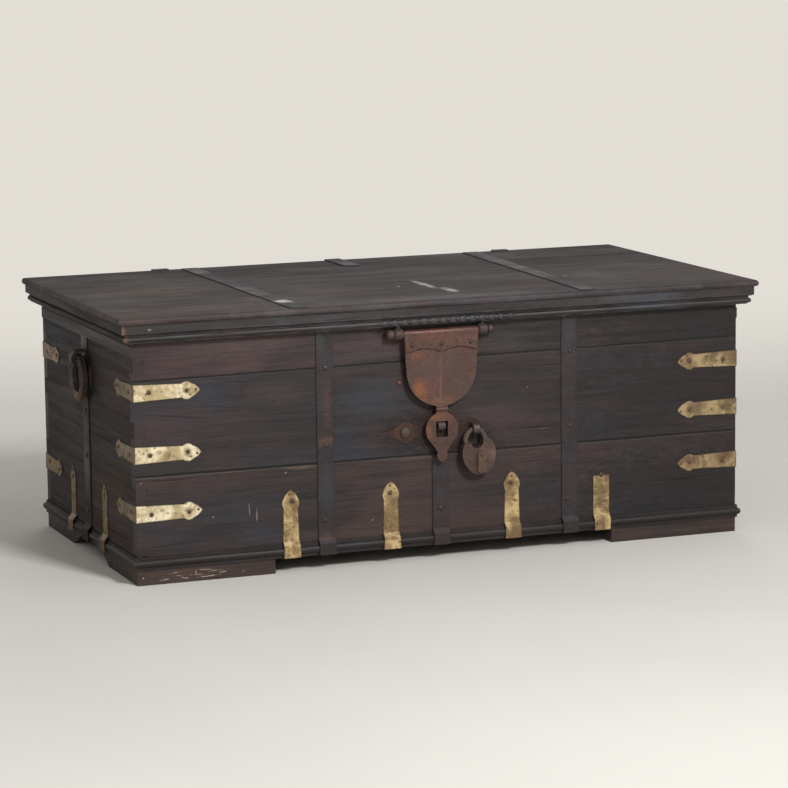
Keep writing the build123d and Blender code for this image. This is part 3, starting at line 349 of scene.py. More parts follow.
def brass(name, seed, tones, metallic=0.3, end_shade_share=0.0, marks=()):
    """Worn brass sheet in bright, dull and tarnish tones, with dark edges, pits and fine scratches, and
    painted shade where it lies on an end.
    """
    sheet = Surface(name, seed)
    bright, dull, tarnish = (srgb(*tone) for tone in tones)
    cloud = sheet.noise(even(21.0), detail=6.0, roughness=0.68, distortion=0.4)
    spots = sheet.noise(even(95.0), detail=4.0, roughness=0.6, shift=4.0)
    scratch = sheet.noise((50.0, 50.0, 420.0), detail=3.0, shift=8.0)
    pits = sheet.band(sheet.cells(75.0, 2.0), 0.0, 0.3, 1.0, 0.0)
    colour = sheet.mix(sheet.band(cloud, 0.4, 0.6), bright, dull)
    dark_mask = sheet.math("MAXIMUM", sheet.band(spots, 0.6, 0.7), sheet.band(cloud, 0.62, 0.74))
    colour = sheet.mix(sheet.times(dark_mask, 0.8), colour, tarnish)
    tan = sheet.noise(even(34.0), detail=5.0, roughness=0.7, shift=15.0)
    tanned = sheet.mix(0.45, dull, srgb(122, 88, 64))
    colour = sheet.mix(sheet.band(tan, 0.54, 0.66, 0.0, 0.7), colour, tanned)
    colour = sheet.mix(sheet.times(pits, 0.75), colour, srgb(52, 42, 26))
    # Painted shade: the part of a strap that lies on an end is darkened
    if end_shade_share:
        away = sheet.math("ABSOLUTE", sheet.axis("X"))
        out = sheet.band(away, HALF_LENGTH - 0.0005, HALF_LENGTH + 0.0008)
        end_shade_colour = sheet.mix(sheet.band(cloud, 0.35, 0.65), srgb(114, 86, 38), srgb(70, 50, 22))
        colour = sheet.mix(sheet.times(out, end_shade_share), colour, end_shade_colour)
    colour = sheet.mix(sheet.times(sheet.edges(0.0032), 0.85), colour, srgb(58, 44, 26))
    colour = sheet.stain(colour, marks)
    height = sheet.minus(sheet.times(cloud, 1.3), pits)
    height = sheet.plus(height, sheet.times(scratch, 0.15))
    sheet.bump(height, 0.5, 0.0012)
    roughness = sheet.band(spots, 0.4, 0.7, 0.34, 0.62)
    return sheet.finish(colour, roughness, metallic)


def dress(node, material):
    """Gives a CAD node its material."""
    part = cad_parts[node]
    for slot in part.material_slots:
        slot.material = material


# Plank joints: height, slope along the wall and width
FRONT_SEAMS = ((0.198, 0.0, 0.0034), (0.37575, 0.00708, 0.0026))
END_SEAMS = ((0.240, 0.0, 0.0022),)

# Tones that several materials share, as screen values
DEEP = (27, 23, 24)
EDGE = (22, 18, 18)
WALL_FACE = -HALF_DEPTH
PALE = (128, 120, 114)
# Dark tone of the cracks, and of the painted shadow round the lock plate, the hasp and the padlock
CRACK_AND_SHADOW = (16, 13, 13)
# Painted shade laid over the right-hand part of the front planks
RIGHT_SIDE_SHADE = (14, 10, 10)


def front_mark(x, z, half_x, half_z, turn, colour, strength):
    """A mark on the front face only."""
    return ((x, WALL_FACE, z), (half_x, 0.012, half_z), turn, colour, strength)


def lid_mark(x, y, half_x, half_y, turn, colour, strength):
    """A mark on the top of the lid only."""
    return ((x, y, LID_TOP), (half_x, half_y, 0.01), turn, colour, strength)


def hasp_mark(x, z, half_x, half_z, turn, colour, strength):
    """A mark on the hasp or the drop, x being counted from the lock's middle."""
    return ((LOCK_X + x, SHIELD_FACE_Y, z), (half_x, 0.02, half_z), turn, colour, strength)


PALE_PATCH = lid_mark(-0.290, -0.235, 0.022, 0.024, 0, (242, 240, 236), 1.0)


def upper_marks():
    """Finger joint stain, a warm run and a blue-grey bloom on the upper plank, with painted shade over its
    right-hand part.
    """
    return (
        front_mark(-0.40, 0.425, 0.16, 0.024, 2, (74, 61, 60), 0.5),
        front_mark(-0.10, 0.405, 0.13, 0.028, 0, (76, 61, 60), 0.45),
        front_mark(0.13, 0.40, 0.04, 0.03, 0, (52, 54, 57), 0.4),
        # Painted shade over the plank's right-hand part
        front_mark(0.52, 0.42, 0.40, 0.09, 0, RIGHT_SIDE_SHADE, 0.75),
    )


def middle_marks():
    """The long faint crack, bruises and specks of the middle plank, painted shadow round the lock plate,
    the hasp and the padlock, and painted shade over its right-hand part.
    """
    return (
        front_mark(-0.52, 0.304, 0.075, 0.0012, -7, CRACK_AND_SHADOW, 0.85),
        front_mark(-0.43, 0.315, 0.06, 0.0010, -6, CRACK_AND_SHADOW, 0.6),
        front_mark(-0.33, 0.335, 0.09, 0.03, 0, (72, 59, 57), 0.35),
        front_mark(-0.14, 0.31, 0.09, 0.05, 0, (50, 54, 62), 0.5),
        front_mark(0.10, 0.27, 0.10, 0.03, 0, (74, 60, 60), 0.4),
        front_mark(-0.073, 0.281, 0.012, 0.0012, -20, CRACK_AND_SHADOW, 0.8),
        front_mark(0.165, 0.311, 0.0016, 0.0014, 0, PALE, 0.9),
        # Painted shadow cast by the lock plate, the hasp and the padlock onto the plank
        front_mark(LOCK_X - 0.070, LOCK_Z - 0.004, 0.066, 0.044, 0, CRACK_AND_SHADOW, 0.9),
        front_mark(LOCK_X, LOCK_Z - 0.010, 0.074, 0.074, 0, CRACK_AND_SHADOW, 0.9),
        front_mark(0.062, 0.196, 0.070, 0.064, 0, CRACK_AND_SHADOW, 0.8),
        # Painted shade over the plank's right-hand part
        front_mark(0.52, 0.29, 0.42, 0.16, 0, RIGHT_SIDE_SHADE, 0.72),
    )


def lower_marks():
    """Chipped top edge, pale drips, specks and knots of the lower plank, with painted shade over its
    right-hand part.
    """
    return (
        front_mark(-0.29, 0.1935, 0.05, 0.0045, -2, (104, 82, 66), 0.55),
        front_mark(-0.06, 0.193, 0.06, 0.003, 0, (84, 64, 54), 0.5),
        front_mark(-0.386, 0.122, 0.0011, 0.012, 4, PALE, 0.7),
        front_mark(-0.372, 0.112, 0.0012, 0.013, 0, PALE, 0.75),
        front_mark(-0.455, 0.115, 0.0018, 0.0015, 0, PALE, 0.9),
        front_mark(-0.590, 0.188, 0.0018, 0.0015, 0, PALE, 0.9),
        front_mark(-0.315, 0.186, 0.0018, 0.0015, 0, PALE, 0.9),
        front_mark(-0.147, 0.084, 0.0018, 0.0015, 0, PALE, 0.9),
        front_mark(-0.41, 0.12, 0.03, 0.018, -25, (40, 41, 46), 0.6),
        front_mark(-0.52, 0.072, 0.06, 0.002, 3, CRACK_AND_SHADOW, 0.6),
        front_mark(-0.35, 0.075, 0.08, 0.02, 0, (46, 49, 55), 0.5),
        # Painted shade over the plank's right-hand part
        front_mark(0.52, 0.11, 0.42, 0.14, 0, RIGHT_SIDE_SHADE, 0.75),
    )


def finger_marks():
    """The finger ends on the front wall, toned like the planks beside them, the right one darker with the
    painted shade of the front's right-hand part.
    """
    return (
        ((-0.590, WALL_FACE, 0.28), (0.035, 0.004, 0.32), 0, (64, 54, 54), 0.7),
        ((0.590, WALL_FACE, 0.28), (0.035, 0.004, 0.32), 0, (44, 37, 37), 0.6),
    )


def end_marks():
    """A blue-grey bloom high at the back of the left end, browner wood towards its front."""
    # Middle, half sizes, colour and strength
    spots = (
        (0.20, 0.40, 0.16, 0.07, (38, 45, 57), 0.6),
        (-0.19, 0.34, 0.16, 0.10, (66, 48, 41), 0.55),
        (-0.17, 0.13, 0.17, 0.08, (64, 49, 43), 0.55),
        (0.21, 0.13, 0.12, 0.08, (30, 26, 27), 0.5),
        (0.10, 0.27, 0.12, 0.04, (60, 45, 40), 0.45),
    )
    marks = []
    for y, z, half_y, half_z, colour, strength in spots:
        marks.append(((-HALF_LENGTH, y, z), (0.012, half_y, half_z), 0, colour, strength))
    return tuple(marks)


def dress_carcass():
    """Planks, feet, mouldings and battens of the carcass."""
    # Level, seed, tones, warm and cool shares, marks
    planks = (
        ("upper", 1, (DEEP, (60, 50, 50), (80, 58, 56), (48, 53, 64)), 0.7, 0.4, upper_marks()),
        ("middle", 2, (DEEP, (51, 44, 45), (72, 52, 50), (43, 50, 63)), 0.5, 0.6, middle_marks()),
        ("lower", 3, (DEEP, (54, 45, 44), (76, 55, 49), (43, 48, 59)), 0.55, 0.4, lower_marks()),
    )
    for level, seed, tones, warm_share, cool_share, marks in planks:
        plank = wood("wood_front_" + level, "x", seed, tones, warm_share, cool_share, FRONT_SEAMS, EDGE,
                     marks=marks)
        dress("front_plank_" + level, plank)
        dress("back_plank_" + level, plank)
    end_planks = (
        ("upper", 5, ((16, 12, 11), (34, 26, 24), (46, 32, 27), (34, 37, 42)), 0.5, 0.4),
        ("lower", 6, ((18, 13, 12), (49, 38, 34), (66, 47, 39), (38, 40, 46)), 0.55, 0.35),
    )
    for level, seed, tones, warm_share, cool_share in end_planks:
        plank = wood("wood_end_" + level, "y", seed, tones, warm_share, cool_share, END_SEAMS, EDGE,
                     marks=finger_marks() + end_marks(), shine=(0.52, 0.76), specular=0.25)
        dress("left_end_plank_" + level, plank)
        dress("right_end_plank_" + level, plank)
    inside = ((78, 62, 52), (92, 70, 54), (66, 60, 58))
    dress("bottom_boards", wood("wood_inside", "x", 8, (DEEP, *inside)))
    batten = ((72, 56, 50), (84, 62, 52), (58, 56, 58))
    dress("lid_battens", wood("wood_lid_batten", "y", 9, (DEEP, *batten)))
    dress_feet()
    long_base = wood("wood_base_long", "x", 12, ((18, 14, 14), (38, 31, 31), (52, 40, 38), (42, 43, 48)),
                     0.4, 0.4, edge_colour=(76, 66, 63), edge_amount=0.45, shine=(0.46, 0.66))
    end_base = wood("wood_base_end", "y", 13, ((18, 16, 16), (36, 31, 31), (46, 37, 34), (40, 42, 48)),
                    0.4, 0.4, edge_colour=(70, 60, 56), edge_amount=0.4, shine=(0.46, 0.66))
    dress("base_moulding_front", long_base)
    dress("base_moulding_back", long_base)
    dress("base_moulding_left", end_base)
    dress("base_moulding_right", end_base)
    end_batten = wood("wood_end_batten", "y", 14, ((24, 20, 20), (52, 43, 40), (62, 48, 43), (44, 45, 49)),
                      0.5, 0.3, edge_colour=(72, 58, 52), edge_amount=0.4)
    dress("end_battens", end_batten)


def dress_feet():
    """Brown feet, the front left one scuffed by what was dragged over it."""
    # Middle, half sizes and turn of each scuff
    scuffs = (
        (-0.470, 0.020, 0.022, 0.0010, -4),
        (-0.490, 0.015, 0.0011, 0.005, 8),
        (-0.549, 0.008, 0.011, 0.0011, 6),
        (-0.511, 0.008, 0.009, 0.0012, -8),
        (-0.466, 0.0075, 0.024, 0.0011, 2),
        (-0.455, 0.0165, 0.014, 0.0009, 3),
        (-0.522, 0.0130, 0.008, 0.0009, -12),
        (-0.530, 0.0190, 0.012, 0.0009, 5),
        (-0.484, 0.0115, 0.016, 0.0009, -5),
        (-0.437, 0.0130, 0.010, 0.0010, 4),
        (-0.590, 0.014, 0.0022, 0.0020, 0),
        (-0.40, 0.010, 0.0016, 0.0014, 0),
    )
    marks = []
    for x, z, half_x, half_z, turn in scuffs:
        marks.append(((x, FOOT_FACE_Y, z), (half_x, 0.014, half_z), turn, (176, 166, 158), 0.8))
    marks.append(((-0.50, FOOT_FACE_Y, 0.016), (0.10, 0.014, 0.012), 0, (98, 68, 52), 0.5))
    foot = wood("wood_foot", "x", 10, ((28, 22, 21), (66, 51, 46), (80, 58, 48), (54, 50, 51)),
                0.6, 0.4, edge_colour=(98, 76, 64), edge_amount=0.5, marks=marks)
    for corner in ("front_left", "front_right", "back_left", "back_right"):
        dress("foot_" + corner, foot)


def lid_marks():
    """Worn patches, stains and pale edges on top of the lid, and painted shade over its right-hand part."""
    return (
        PALE_PATCH,
        lid_mark(0.036, -0.11, 0.010, 0.075, 14, (196, 193, 190), 0.75),
        lid_mark(0.050, -0.205, 0.012, 0.04, -20, (200, 197, 194), 0.75),
        lid_mark(-0.018, -0.115, 0.003, 0.006, 0, (190, 186, 182), 0.8),
        lid_mark(0.329, -0.110, 0.004, 0.007, 0, (178, 170, 166), 0.8),
        lid_mark(-0.566, 0.26, 0.005, 0.05, 2, CRACK_AND_SHADOW, 0.8),
        lid_mark(-0.45, -0.25, 0.14, 0.05, 0, (98, 80, 74), 0.55),
        lid_mark(-0.46, 0.02, 0.16, 0.06, 0, (86, 66, 60), 0.6),
        lid_mark(-0.42, -0.10, 0.16, 0.030, 3, (52, 50, 54), 0.6),
        lid_mark(-0.36, 0.16, 0.10, 0.05, 0, (78, 60, 56), 0.5),
        lid_mark(-0.43, -0.045, 0.05, 0.008, 8, (118, 104, 98), 0.5),
        lid_mark(-0.52, -0.15, 0.03, 0.010, 0, (112, 94, 86), 0.5),
        lid_mark(-0.15, -0.12, 0.10, 0.05, 0, (92, 74, 70), 0.5),
        lid_mark(-0.08, -0.02, 0.20, 0.030, 0, (50, 50, 56), 0.6),
        lid_mark(0.16, 0.12, 0.20, 0.06, 0, (72, 58, 56), 0.5),
        lid_mark(0.44, 0.02, 0.14, 0.05, 0, (84, 70, 66), 0.5),
        lid_mark(0.00, -0.29, 0.26, 0.035, 0, (104, 100, 100), 0.5),
        # Painted shade over the right front of the lid
        lid_mark(0.42, -0.24, 0.20, 0.08, 0, (58, 52, 53), 0.65),
        lid_mark(-0.10, 0.05, 0.22, 0.05, 0, (54, 48, 48), 0.5),
        lid_mark(-0.55, -0.05, 0.08, 0.10, 0, (84, 78, 72), 0.45),
        # Painted shade over the right back of the lid
        lid_mark(0.45, 0.14, 0.30, 0.16, 0, (32, 28, 29), 0.8),
    )


def moulding_marks():
    """Fresh wood where the left front mitre has been knocked."""
    raw = (126, 84, 58)
    return (
        ((-0.6255, -0.3270, 0.4660), (0.008, 0.008, 0.013), 0, raw, 0.75),
        ((-0.6190, -0.3200, 0.4480), (0.009, 0.009, 0.009), 0, raw, 0.75),
        ((-0.575, -0.3275, 0.468), (0.004, 0.006, 0.002), 0, PALE, 0.7),
    )


def dress_lid():
    """Lid boards and the moulding under them."""
    # Place, seed, main tone, warm tone and its share
    # The main tones darken from the front board to the back one: painted shade over the lid's far side
    boards = (
        ("front", 20, (70, 63, 63), (90, 68, 62), 0.5),
        ("middle", 21, (60, 54, 55), (78, 60, 56), 0.45),
        ("back", 22, (34, 30, 31), (50, 38, 36), 0.45),
    )
    for place, seed, main, warm, warm_share in boards:
        tones = ((32, 27, 27), main, warm, (66, 71, 82))
        board = wood("wood_lid_" + place, "x", seed, tones, warm_share, 0.5, edge_colour=(98, 80, 72),
                     edge_amount=0.5, dust=0.3, marks=lid_marks(), shine=(0.5, 0.75), specular=0.3)
        dress("lid_board_" + place, board)
    # On the long moulding the bright blue-grey patches and the pale edges are blue-grey wood and worn edges
    # brightened into painted broken highlights
    long_tones = ((12, 9, 10), (35, 28, 29), (54, 39, 37), (70, 75, 87))
    long_run = wood("wood_lid_moulding_long", "x", 25, long_tones, 0.5, 0.5, edge_colour=(122, 106, 100),
                    edge_amount=0.6, marks=moulding_marks(), shine=(0.34, 0.64), specular=0.55)
    end_tones = ((16, 13, 12), (34, 27, 25), (48, 35, 31), (38, 41, 47))
    end_run = wood("wood_lid_moulding_end", "y", 26, end_tones, 0.5, 0.4, edge_colour=(84, 68, 60),
                   edge_amount=0.45, marks=moulding_marks(), shine=(0.5, 0.74), specular=0.3)
    dress("lid_moulding_front", long_run)
    dress("lid_moulding_left", end_run)
    dress("lid_moulding_right", end_run)


def strap_marks():
    """Blue-grey and rusty lengths of the left front strap."""
    left, right = FRONT_STRAP_X
    blue = (54, 58, 65)
    rust = (92, 68, 58)
    return (
        front_mark(left - 0.008, 0.43, 0.010, 0.05, 0, blue, 0.7),
        front_mark(left + 0.004, 0.31, 0.012, 0.06, 0, (80, 58, 56), 0.6),
        front_mark(left, 0.238, 0.02, 0.015, 0, rust, 0.75),
        front_mark(left, 0.15, 0.02, 0.065, 0, blue, 0.75),
        front_mark(left, 0.06, 0.02, 0.012, 0, (88, 70, 64), 0.6),
        front_mark(right, 0.40, 0.02, 0.06, 0, (58, 60, 68), 0.6),
        front_mark(right, 0.12, 0.02, 0.05, 0, (60, 48, 48), 0.5),
    )


def fold_edge_shade():
    """Painted shade along the double curve just under the lower edge of the folded plate on the shield."""
    marks = []
    for x, z, turn in ((0.060, 0.3942, -20), (0.044, 0.3982, -7), (0.027, 0.3982, 7), (0.009, 0.3942, 19)):
        for side in (-1, 1):
            place = (LOCK_X + side * x, SHIELD_FACE_Y, z)
            marks.append((place, (0.0105, 0.004, 0.0016), side * turn, (34, 24, 22), 0.85))
    return tuple(marks)


def hasp_marks():
    """Painted shade along the fold, orange rust low on the left of the shield, a painted highlight down its
    middle and greyer patches beside it.
    """
    return fold_edge_shade() + (
        hasp_mark(-0.044, 0.322, 0.018, 0.026, 40, (142, 88, 50), 0.65),
        hasp_mark(-0.050, 0.388, 0.016, 0.010, 0, (124, 80, 60), 0.55),
        # Painted highlight: a thin lighter streak down the middle where a raised spine would catch the
        # light
        hasp_mark(-0.002, 0.345, 0.0035, 0.045, 0, (116, 88, 76), 0.5),
        hasp_mark(-0.002, 0.300, 0.030, 0.012, 0, (116, 82, 66), 0.45),
        hasp_mark(-0.022, 0.362, 0.034, 0.026, 0, (76, 62, 60), 0.7),
        hasp_mark(0.026, 0.360, 0.032, 0.028, 0, (74, 60, 58), 0.7),
        hasp_mark(0.030, 0.320, 0.03, 0.02, 0, (88, 66, 60), 0.4),
    )


def padlock_marks():
    """Painted shade on the padlock body's left flank and foot, a painted highlight right of its middle and
    a rusty patch above its middle.
    """
    return (
        ((0.054, PADLOCK_FACE_Y, 0.182), (0.020, 0.03, 0.034), 0, (50, 34, 32), 0.85),
        ((0.088, PADLOCK_FACE_Y, 0.196), (0.016, 0.03, 0.020), 0, (120, 92, 84), 0.7),
        ((0.078, PADLOCK_FACE_Y, 0.156), (0.034, 0.03, 0.014), 0, (56, 39, 36), 0.8),
        ((0.066, PADLOCK_FACE_Y, 0.204), (0.016, 0.03, 0.014), 0, (108, 74, 58), 0.6),
    )


def drop_marks():
    """Rust at the top and left rim of the drop, a darker right side and tip."""
    return (
        hasp_mark(-0.012, 0.270, 0.024, 0.010, 0, (126, 78, 56), 0.6),
        hasp_mark(-0.026, 0.245, 0.008, 0.022, 0, (122, 76, 54), 0.6),
        hasp_mark(0.020, 0.238, 0.012, 0.024, 0, (72, 54, 50), 0.6),
        hasp_mark(0.0, 0.195, 0.012, 0.016, 0, (74, 56, 54), 0.6),
    )


def dress_metal():
    """Straps, hinges, hasp, lock, padlock and handles."""
    lock_rust = front_mark(LOCK_X - 0.072, LOCK_Z, 0.028, 0.024, 0, (88, 54, 40), 0.65)
    # Name, seed, tones, rust and pale shares, marks, rim and nodes; a pale rim is a painted highlight along
    # the edges
    irons = (
        ("iron_strap", 30, ((46, 40, 41), (66, 48, 45), (52, 55, 62)), (0.5, 0.6), strap_marks(),
         (24, 20, 20), "front_strap_left front_strap_right front_strap_centre hinge_lower_leaves"
         " hinge_pins"),
        ("iron_end_strap", 29, ((34, 27, 26), (48, 35, 31), (40, 38, 40)), (0.5, 0.4), (), (22, 18, 18),
         "end_straps"),
        ("iron_lid_strap", 31, ((56, 56, 60), (66, 56, 54), (82, 86, 94)), (0.4, 0.6), (PALE_PATCH,), None,
         "lid_straps hinge_upper_leaves"),
        ("iron_fitting", 32, ((70, 56, 54), (96, 66, 56), (98, 88, 88)), (0.5, 0.4), (), None,
         "hasp_rod hasp_eyes hasp_rivets drop_pin lock_nail"),
        ("iron_hasp", 33, ((82, 60, 54), (104, 68, 55), (94, 77, 73)), (0.6, 0.4), hasp_marks(),
         (122, 98, 88), "hasp_shield"),
        # The wrap's dark rim is painted shade along its edges
        ("iron_wrap", 34, ((84, 59, 52), (112, 73, 56), (92, 75, 72)), (0.6, 0.45), (), (38, 26, 23),
         "hasp_wrap"),
        ("iron_drop", 35, ((78, 56, 49), (102, 67, 54), (80, 68, 66)), (0.55, 0.5), drop_marks(),
         (116, 86, 74), "drop_plate"),
        ("iron_lock_plate", 36, ((38, 27, 24), (58, 38, 30), (50, 40, 39)), (0.6, 0.4), (lock_rust,),
         (128, 100, 88), "lock_plate"),
        ("iron_padlock", 38, ((76, 58, 52), (92, 65, 54), (92, 79, 78)), (0.5, 0.4), padlock_marks(),
         (128, 108, 102), "padlock_body"),
        ("iron_handle_staple", 28, ((52, 44, 40), (70, 54, 44), (74, 66, 58)), (0.6, 0.4), (), None,
         "handle_staples"),
        ("iron_hasp_staple", 40, ((68, 58, 56), (88, 64, 56), (94, 88, 88)), (0.6, 0.4), (), None,
         "hasp_staple"),
        ("iron_lock_staple", 41, ((76, 66, 64), (100, 72, 60), (112, 104, 102)), (0.6, 0.4), (), None,
         "padlock_staple"),
        ("iron_shackle", 43, ((84, 72, 68), (104, 76, 64), (112, 104, 102)), (0.6, 0.4), (), None,
         "shackle"),
        ("iron_ring", 37, ((64, 52, 51), (84, 62, 55), (112, 101, 106)), (0.4, 0.5),
         (ring_rust(-1), ring_rust(1)), (104, 92, 96), "ring_left ring_right"),
    )
    made = {}
    for name, seed, tones, shares, marks, rim, nodes in irons:
        made[name] = iron(name, seed, tones, shares, marks, rim)
        for node in nodes.split():
            dress(node, made[name])
    cover = brass("brass_key_cover", 42, ((92, 70, 56), (74, 56, 47), (52, 40, 35)), metallic=0.2)
    dress("key_cover", cover)
    dress_brass()
    domed_nail(iron("iron_lock_nail", 44, ((74, 64, 62), (92, 68, 60), (96, 90, 90))))
    wrap_rivets(iron("iron_rivet", 39, ((64, 46, 42), (80, 56, 47), (70, 58, 54)), (0.5, 0.4)))
    shield_work(made["iron_hasp"])


def ring_rust(side):
    """Rust low on one ring."""
    place = (side * RING_X, END_STRAP_Y - 0.012, 0.305)
    return (place, (0.02, 0.03, 0.022), 0, (122, 78, 52), 0.7)


def base_strap_marks():
    """Tan and pinkish tarnish on the upright base straps; the rightmost is darkened all over by tarnish and
    painted shade.
    """
    first, second, third, last = BASE_STRAP_X
    tan = (112, 84, 60)
    return (
        front_mark(first, 0.132, 0.014, 0.014, 0, tan, 0.7),
        front_mark(second, 0.120, 0.016, 0.030, 0, (118, 96, 68), 0.6),
        front_mark(second + 0.006, 0.078, 0.012, 0.020, 0, tan, 0.6),
        front_mark(third, 0.128, 0.016, 0.022, 0, tan, 0.6),
        front_mark(third, 0.070, 0.016, 0.016, 0, (126, 104, 72), 0.5),
        # Tarnish with painted shade over the rightmost strap
        front_mark(last, 0.10, 0.030, 0.045, 0, (96, 78, 50), 0.85),
        front_mark(third - 0.006, 0.100, 0.014, 0.016, 0, (120, 98, 64), 0.6),
    )


def nail_halos(side, heights, colour, strength):
    """Tarnish that has crept out from under the nail heads of one corner's front straps."""
    marks = []
    for z in heights:
        for distance, spread in ((CORNER_NAILS[0][0], 0.0075), (CORNER_NAILS[1][0], 0.0105)):
            place = side * (HALF_LENGTH - distance)
            marks.append(front_mark(place, z, spread, spread, 0, colour, strength))
    return tuple(marks)


def corner_marks():
    """Reddish tarnish round the tip nails of the right corner straps, heaviest on the lowest."""
    red = (98, 66, 50)
    return nail_halos(1, RIGHT_HEIGHTS, (92, 62, 44), 0.8) + (
        front_mark(0.512, 0.355, 0.016, 0.010, 0, red, 0.6),
        front_mark(0.512, 0.258, 0.022, 0.014, 0, (116, 84, 66), 0.7),
        front_mark(0.512, 0.150, 0.022, 0.014, 0, red, 0.7),
        front_mark(0.575, 0.150, 0.032, 0.010, 0, (84, 58, 40), 0.6),
        front_mark(0.590, 0.355, 0.012, 0.008, 0, red, 0.5),
    )


def dress_brass():
    """Corner and base straps, one brass in copies painted brightest at the front left, darker at the front
    right and darkest on the ends: painted light and shade over real tarnish.
    """
    # Painted light: the front left copy is painted bright, the front right one darker as the light falls
    # off, the end copy darker still as painted shade
    bright = brass("brass_left", 45, ((240, 227, 194), (180, 160, 120), (88, 70, 48)), end_shade_share=0.92,
                   marks=nail_halos(-1, LEFT_HEIGHTS, (112, 84, 56), 0.85))
    warm = brass("brass_right", 46, ((164, 142, 104), (104, 86, 60), (84, 68, 46)), end_shade_share=0.7,
                 marks=corner_marks())
    upright = brass("brass_base", 48, ((198, 172, 124), (118, 96, 64), (84, 68, 46)),
                    marks=base_strap_marks())
    dull = brass("brass_end", 47, ((122, 93, 38), (92, 69, 28), (50, 36, 18)))
    dress("corner_straps_front_left", bright)
    dress("corner_straps_front_right", warm)
    dress("corner_straps_back_left", dull)
    dress("corner_straps_back_right", dull)
    dress("base_straps_front", upright)
    dress("base_straps_ends", dull)


# ---------------------------------------------------------------- meshes
def new_piece(name, builder, body, material):
    """Turns a bmesh into an object that rides on a body."""
    mesh = bpy.data.meshes.new(name)
    builder.normal_update()
    builder.to_mesh(mesh)
    builder.free()
    for face in mesh.polygons:
        face.use_smooth = True
    piece = bpy.data.objects.new(name, mesh)
    bpy.context.scene.collection.objects.link(piece)
    piece.data.materials.append(material)
    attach(piece, body)
    return piece


def facing(normal):
    """A rotation that turns +Z to the given direction."""
    return Vector(normal).to_track_quat("Z", "Y").to_matrix().to_4x4()


def join_rings(builder, rings):
    """Closes the first ring and joins each ring to the next."""
    builder.faces.new(list(reversed(rings[0])))
    for lower, upper in zip(rings, rings[1:]):
        for step in range(len(lower)):
            after = (step + 1) % len(lower)
            builder.faces.new((lower[step], lower[after], upper[after], upper[step]))


def add_head(builder, place, normal, radius, height, rng):
    """A forged nail head: a low uneven dome with a rounded rim."""
    turn = Matrix.Translation(place) @ facing(normal)
    profile = ((1.0, -0.1), (1.02, 0.25), (0.9, 0.62), (0.6, 0.9), (0.28, 1.0))
    wobble = [rng.uniform(0.9, 1.08) for _ in range(NAIL_SIDES)]
    rings = []
    for reach, rise in profile:
        ring = []
        for step in range(NAIL_SIDES):
            angle = math.tau * step / NAIL_SIDES
            out = radius * reach * (wobble[step] * 0.5 + 0.5)
            point = Vector((out * math.cos(angle), out * math.sin(angle), height * rise))
            ring.append(builder.verts.new(turn @ point))
        rings.append(ring)
    join_rings(builder, rings)
    builder.faces.new(rings[-1])


def nail_group(name, places, normal, material, radius, height, seed):
    """Nail heads of one kind on the carcass, as one piece."""
    rng = random.Random(seed)
    builder = bmesh.new()
    for place in places:
        size = rng.uniform(0.85, 1.12)
        add_head(builder, Vector(place), normal, radius * size, height, rng)
    new_piece(name, builder, "carcass", material)


def strap_row(builder, rng, foot, run, across, nails, normal, radius, height):
    """One strap's nails, along its run from its foot and each a little off its middle line."""
    for distance, size in nails:
        drift = rng.uniform(-0.003, 0.003)
        place = Vector(foot) + distance * Vector(run) + drift * Vector(across)
        add_head(builder, place, normal, radius * size, height, rng)


def corner_row(builder, rng, foot, run, normal):
    """The nails of one face of a corner strap."""
    strap_row(builder, rng, foot, run, (0, 0, 1), CORNER_NAILS, normal, radius=0.0040, height=0.0014)


def base_row(builder, rng, foot, across, normal, nails=BASE_NAILS):
    """The nails of one upright base strap."""
    strap_row(builder, rng, foot, (0, 0, 1), across, nails, normal, radius=0.0042, height=0.0015)


def front_nails(nail_iron, dark_iron):
    """Nails through everything on the front wall."""
    strap_face = -(HALF_DEPTH + STRAP_THICKNESS)
    places = []
    for strap_x in FRONT_STRAP_X:
        for z in FRONT_NAILS_Z:
            off_middle = 0.002 if z > FRONT_NAILS_Z[0] else -0.003
            places.append((strap_x + off_middle, strap_face, z))
    places.append((CENTRE_STRAP_X, strap_face, CENTRE_NAIL_Z))
    nail_group("nails_front_straps", places, FRONT, nail_iron, radius=0.0048, height=0.0020, seed=2)
    face = -(HALF_DEPTH + BRASS_THICKNESS)
    rng = random.Random(3)
    builder = bmesh.new()
    for side, heights in ((-1, LEFT_HEIGHTS), (1, RIGHT_HEIGHTS)):
        for z in heights:
            corner_row(builder, rng, (side * HALF_LENGTH, face, z), (-side, 0, 0), FRONT)
    for strap_x in BASE_STRAP_X:
        nails = BASE_NAILS[:2] if strap_x == BASE_STRAP_X[-1] else BASE_NAILS
        base_row(builder, rng, (strap_x, face, FOOT_TOP), (1, 0, 0), FRONT, nails)
    new_piece("nails_front_brass", builder, "carcass", dark_iron)


def end_nails(nail_iron, dark_iron):
    """Nails through the straps on both ends."""
    for name, side in (("left", -1), ("right", 1)):
        face = side * (HALF_LENGTH + BRASS_THICKNESS)
        rng = random.Random(5)
        builder = bmesh.new()
        front_heights = LEFT_HEIGHTS if side < 0 else RIGHT_HEIGHTS
        for start, heights in ((-1, front_heights), (1, BACK_HEIGHTS)):
            for z in heights:
                corner_row(builder, rng, (face, start * HALF_DEPTH, z), (0, -start, 0), (side, 0, 0))
        for strap_y in END_BASE_STRAP_Y:
            base_row(builder, rng, (face, strap_y, FOOT_TOP), (0, 1, 0), (side, 0, 0))
        new_piece("nails_end_brass_" + name, builder, "carcass", dark_iron)
        strap_face = side * (HALF_LENGTH + STRAP_THICKNESS)
        places = [(strap_face, END_STRAP_Y, z) for z in END_NAILS_Z]
        nail_group("nails_end_strap_" + name, places, (side, 0, 0), nail_iron, radius=0.0050, height=0.0024,
                   seed=6)


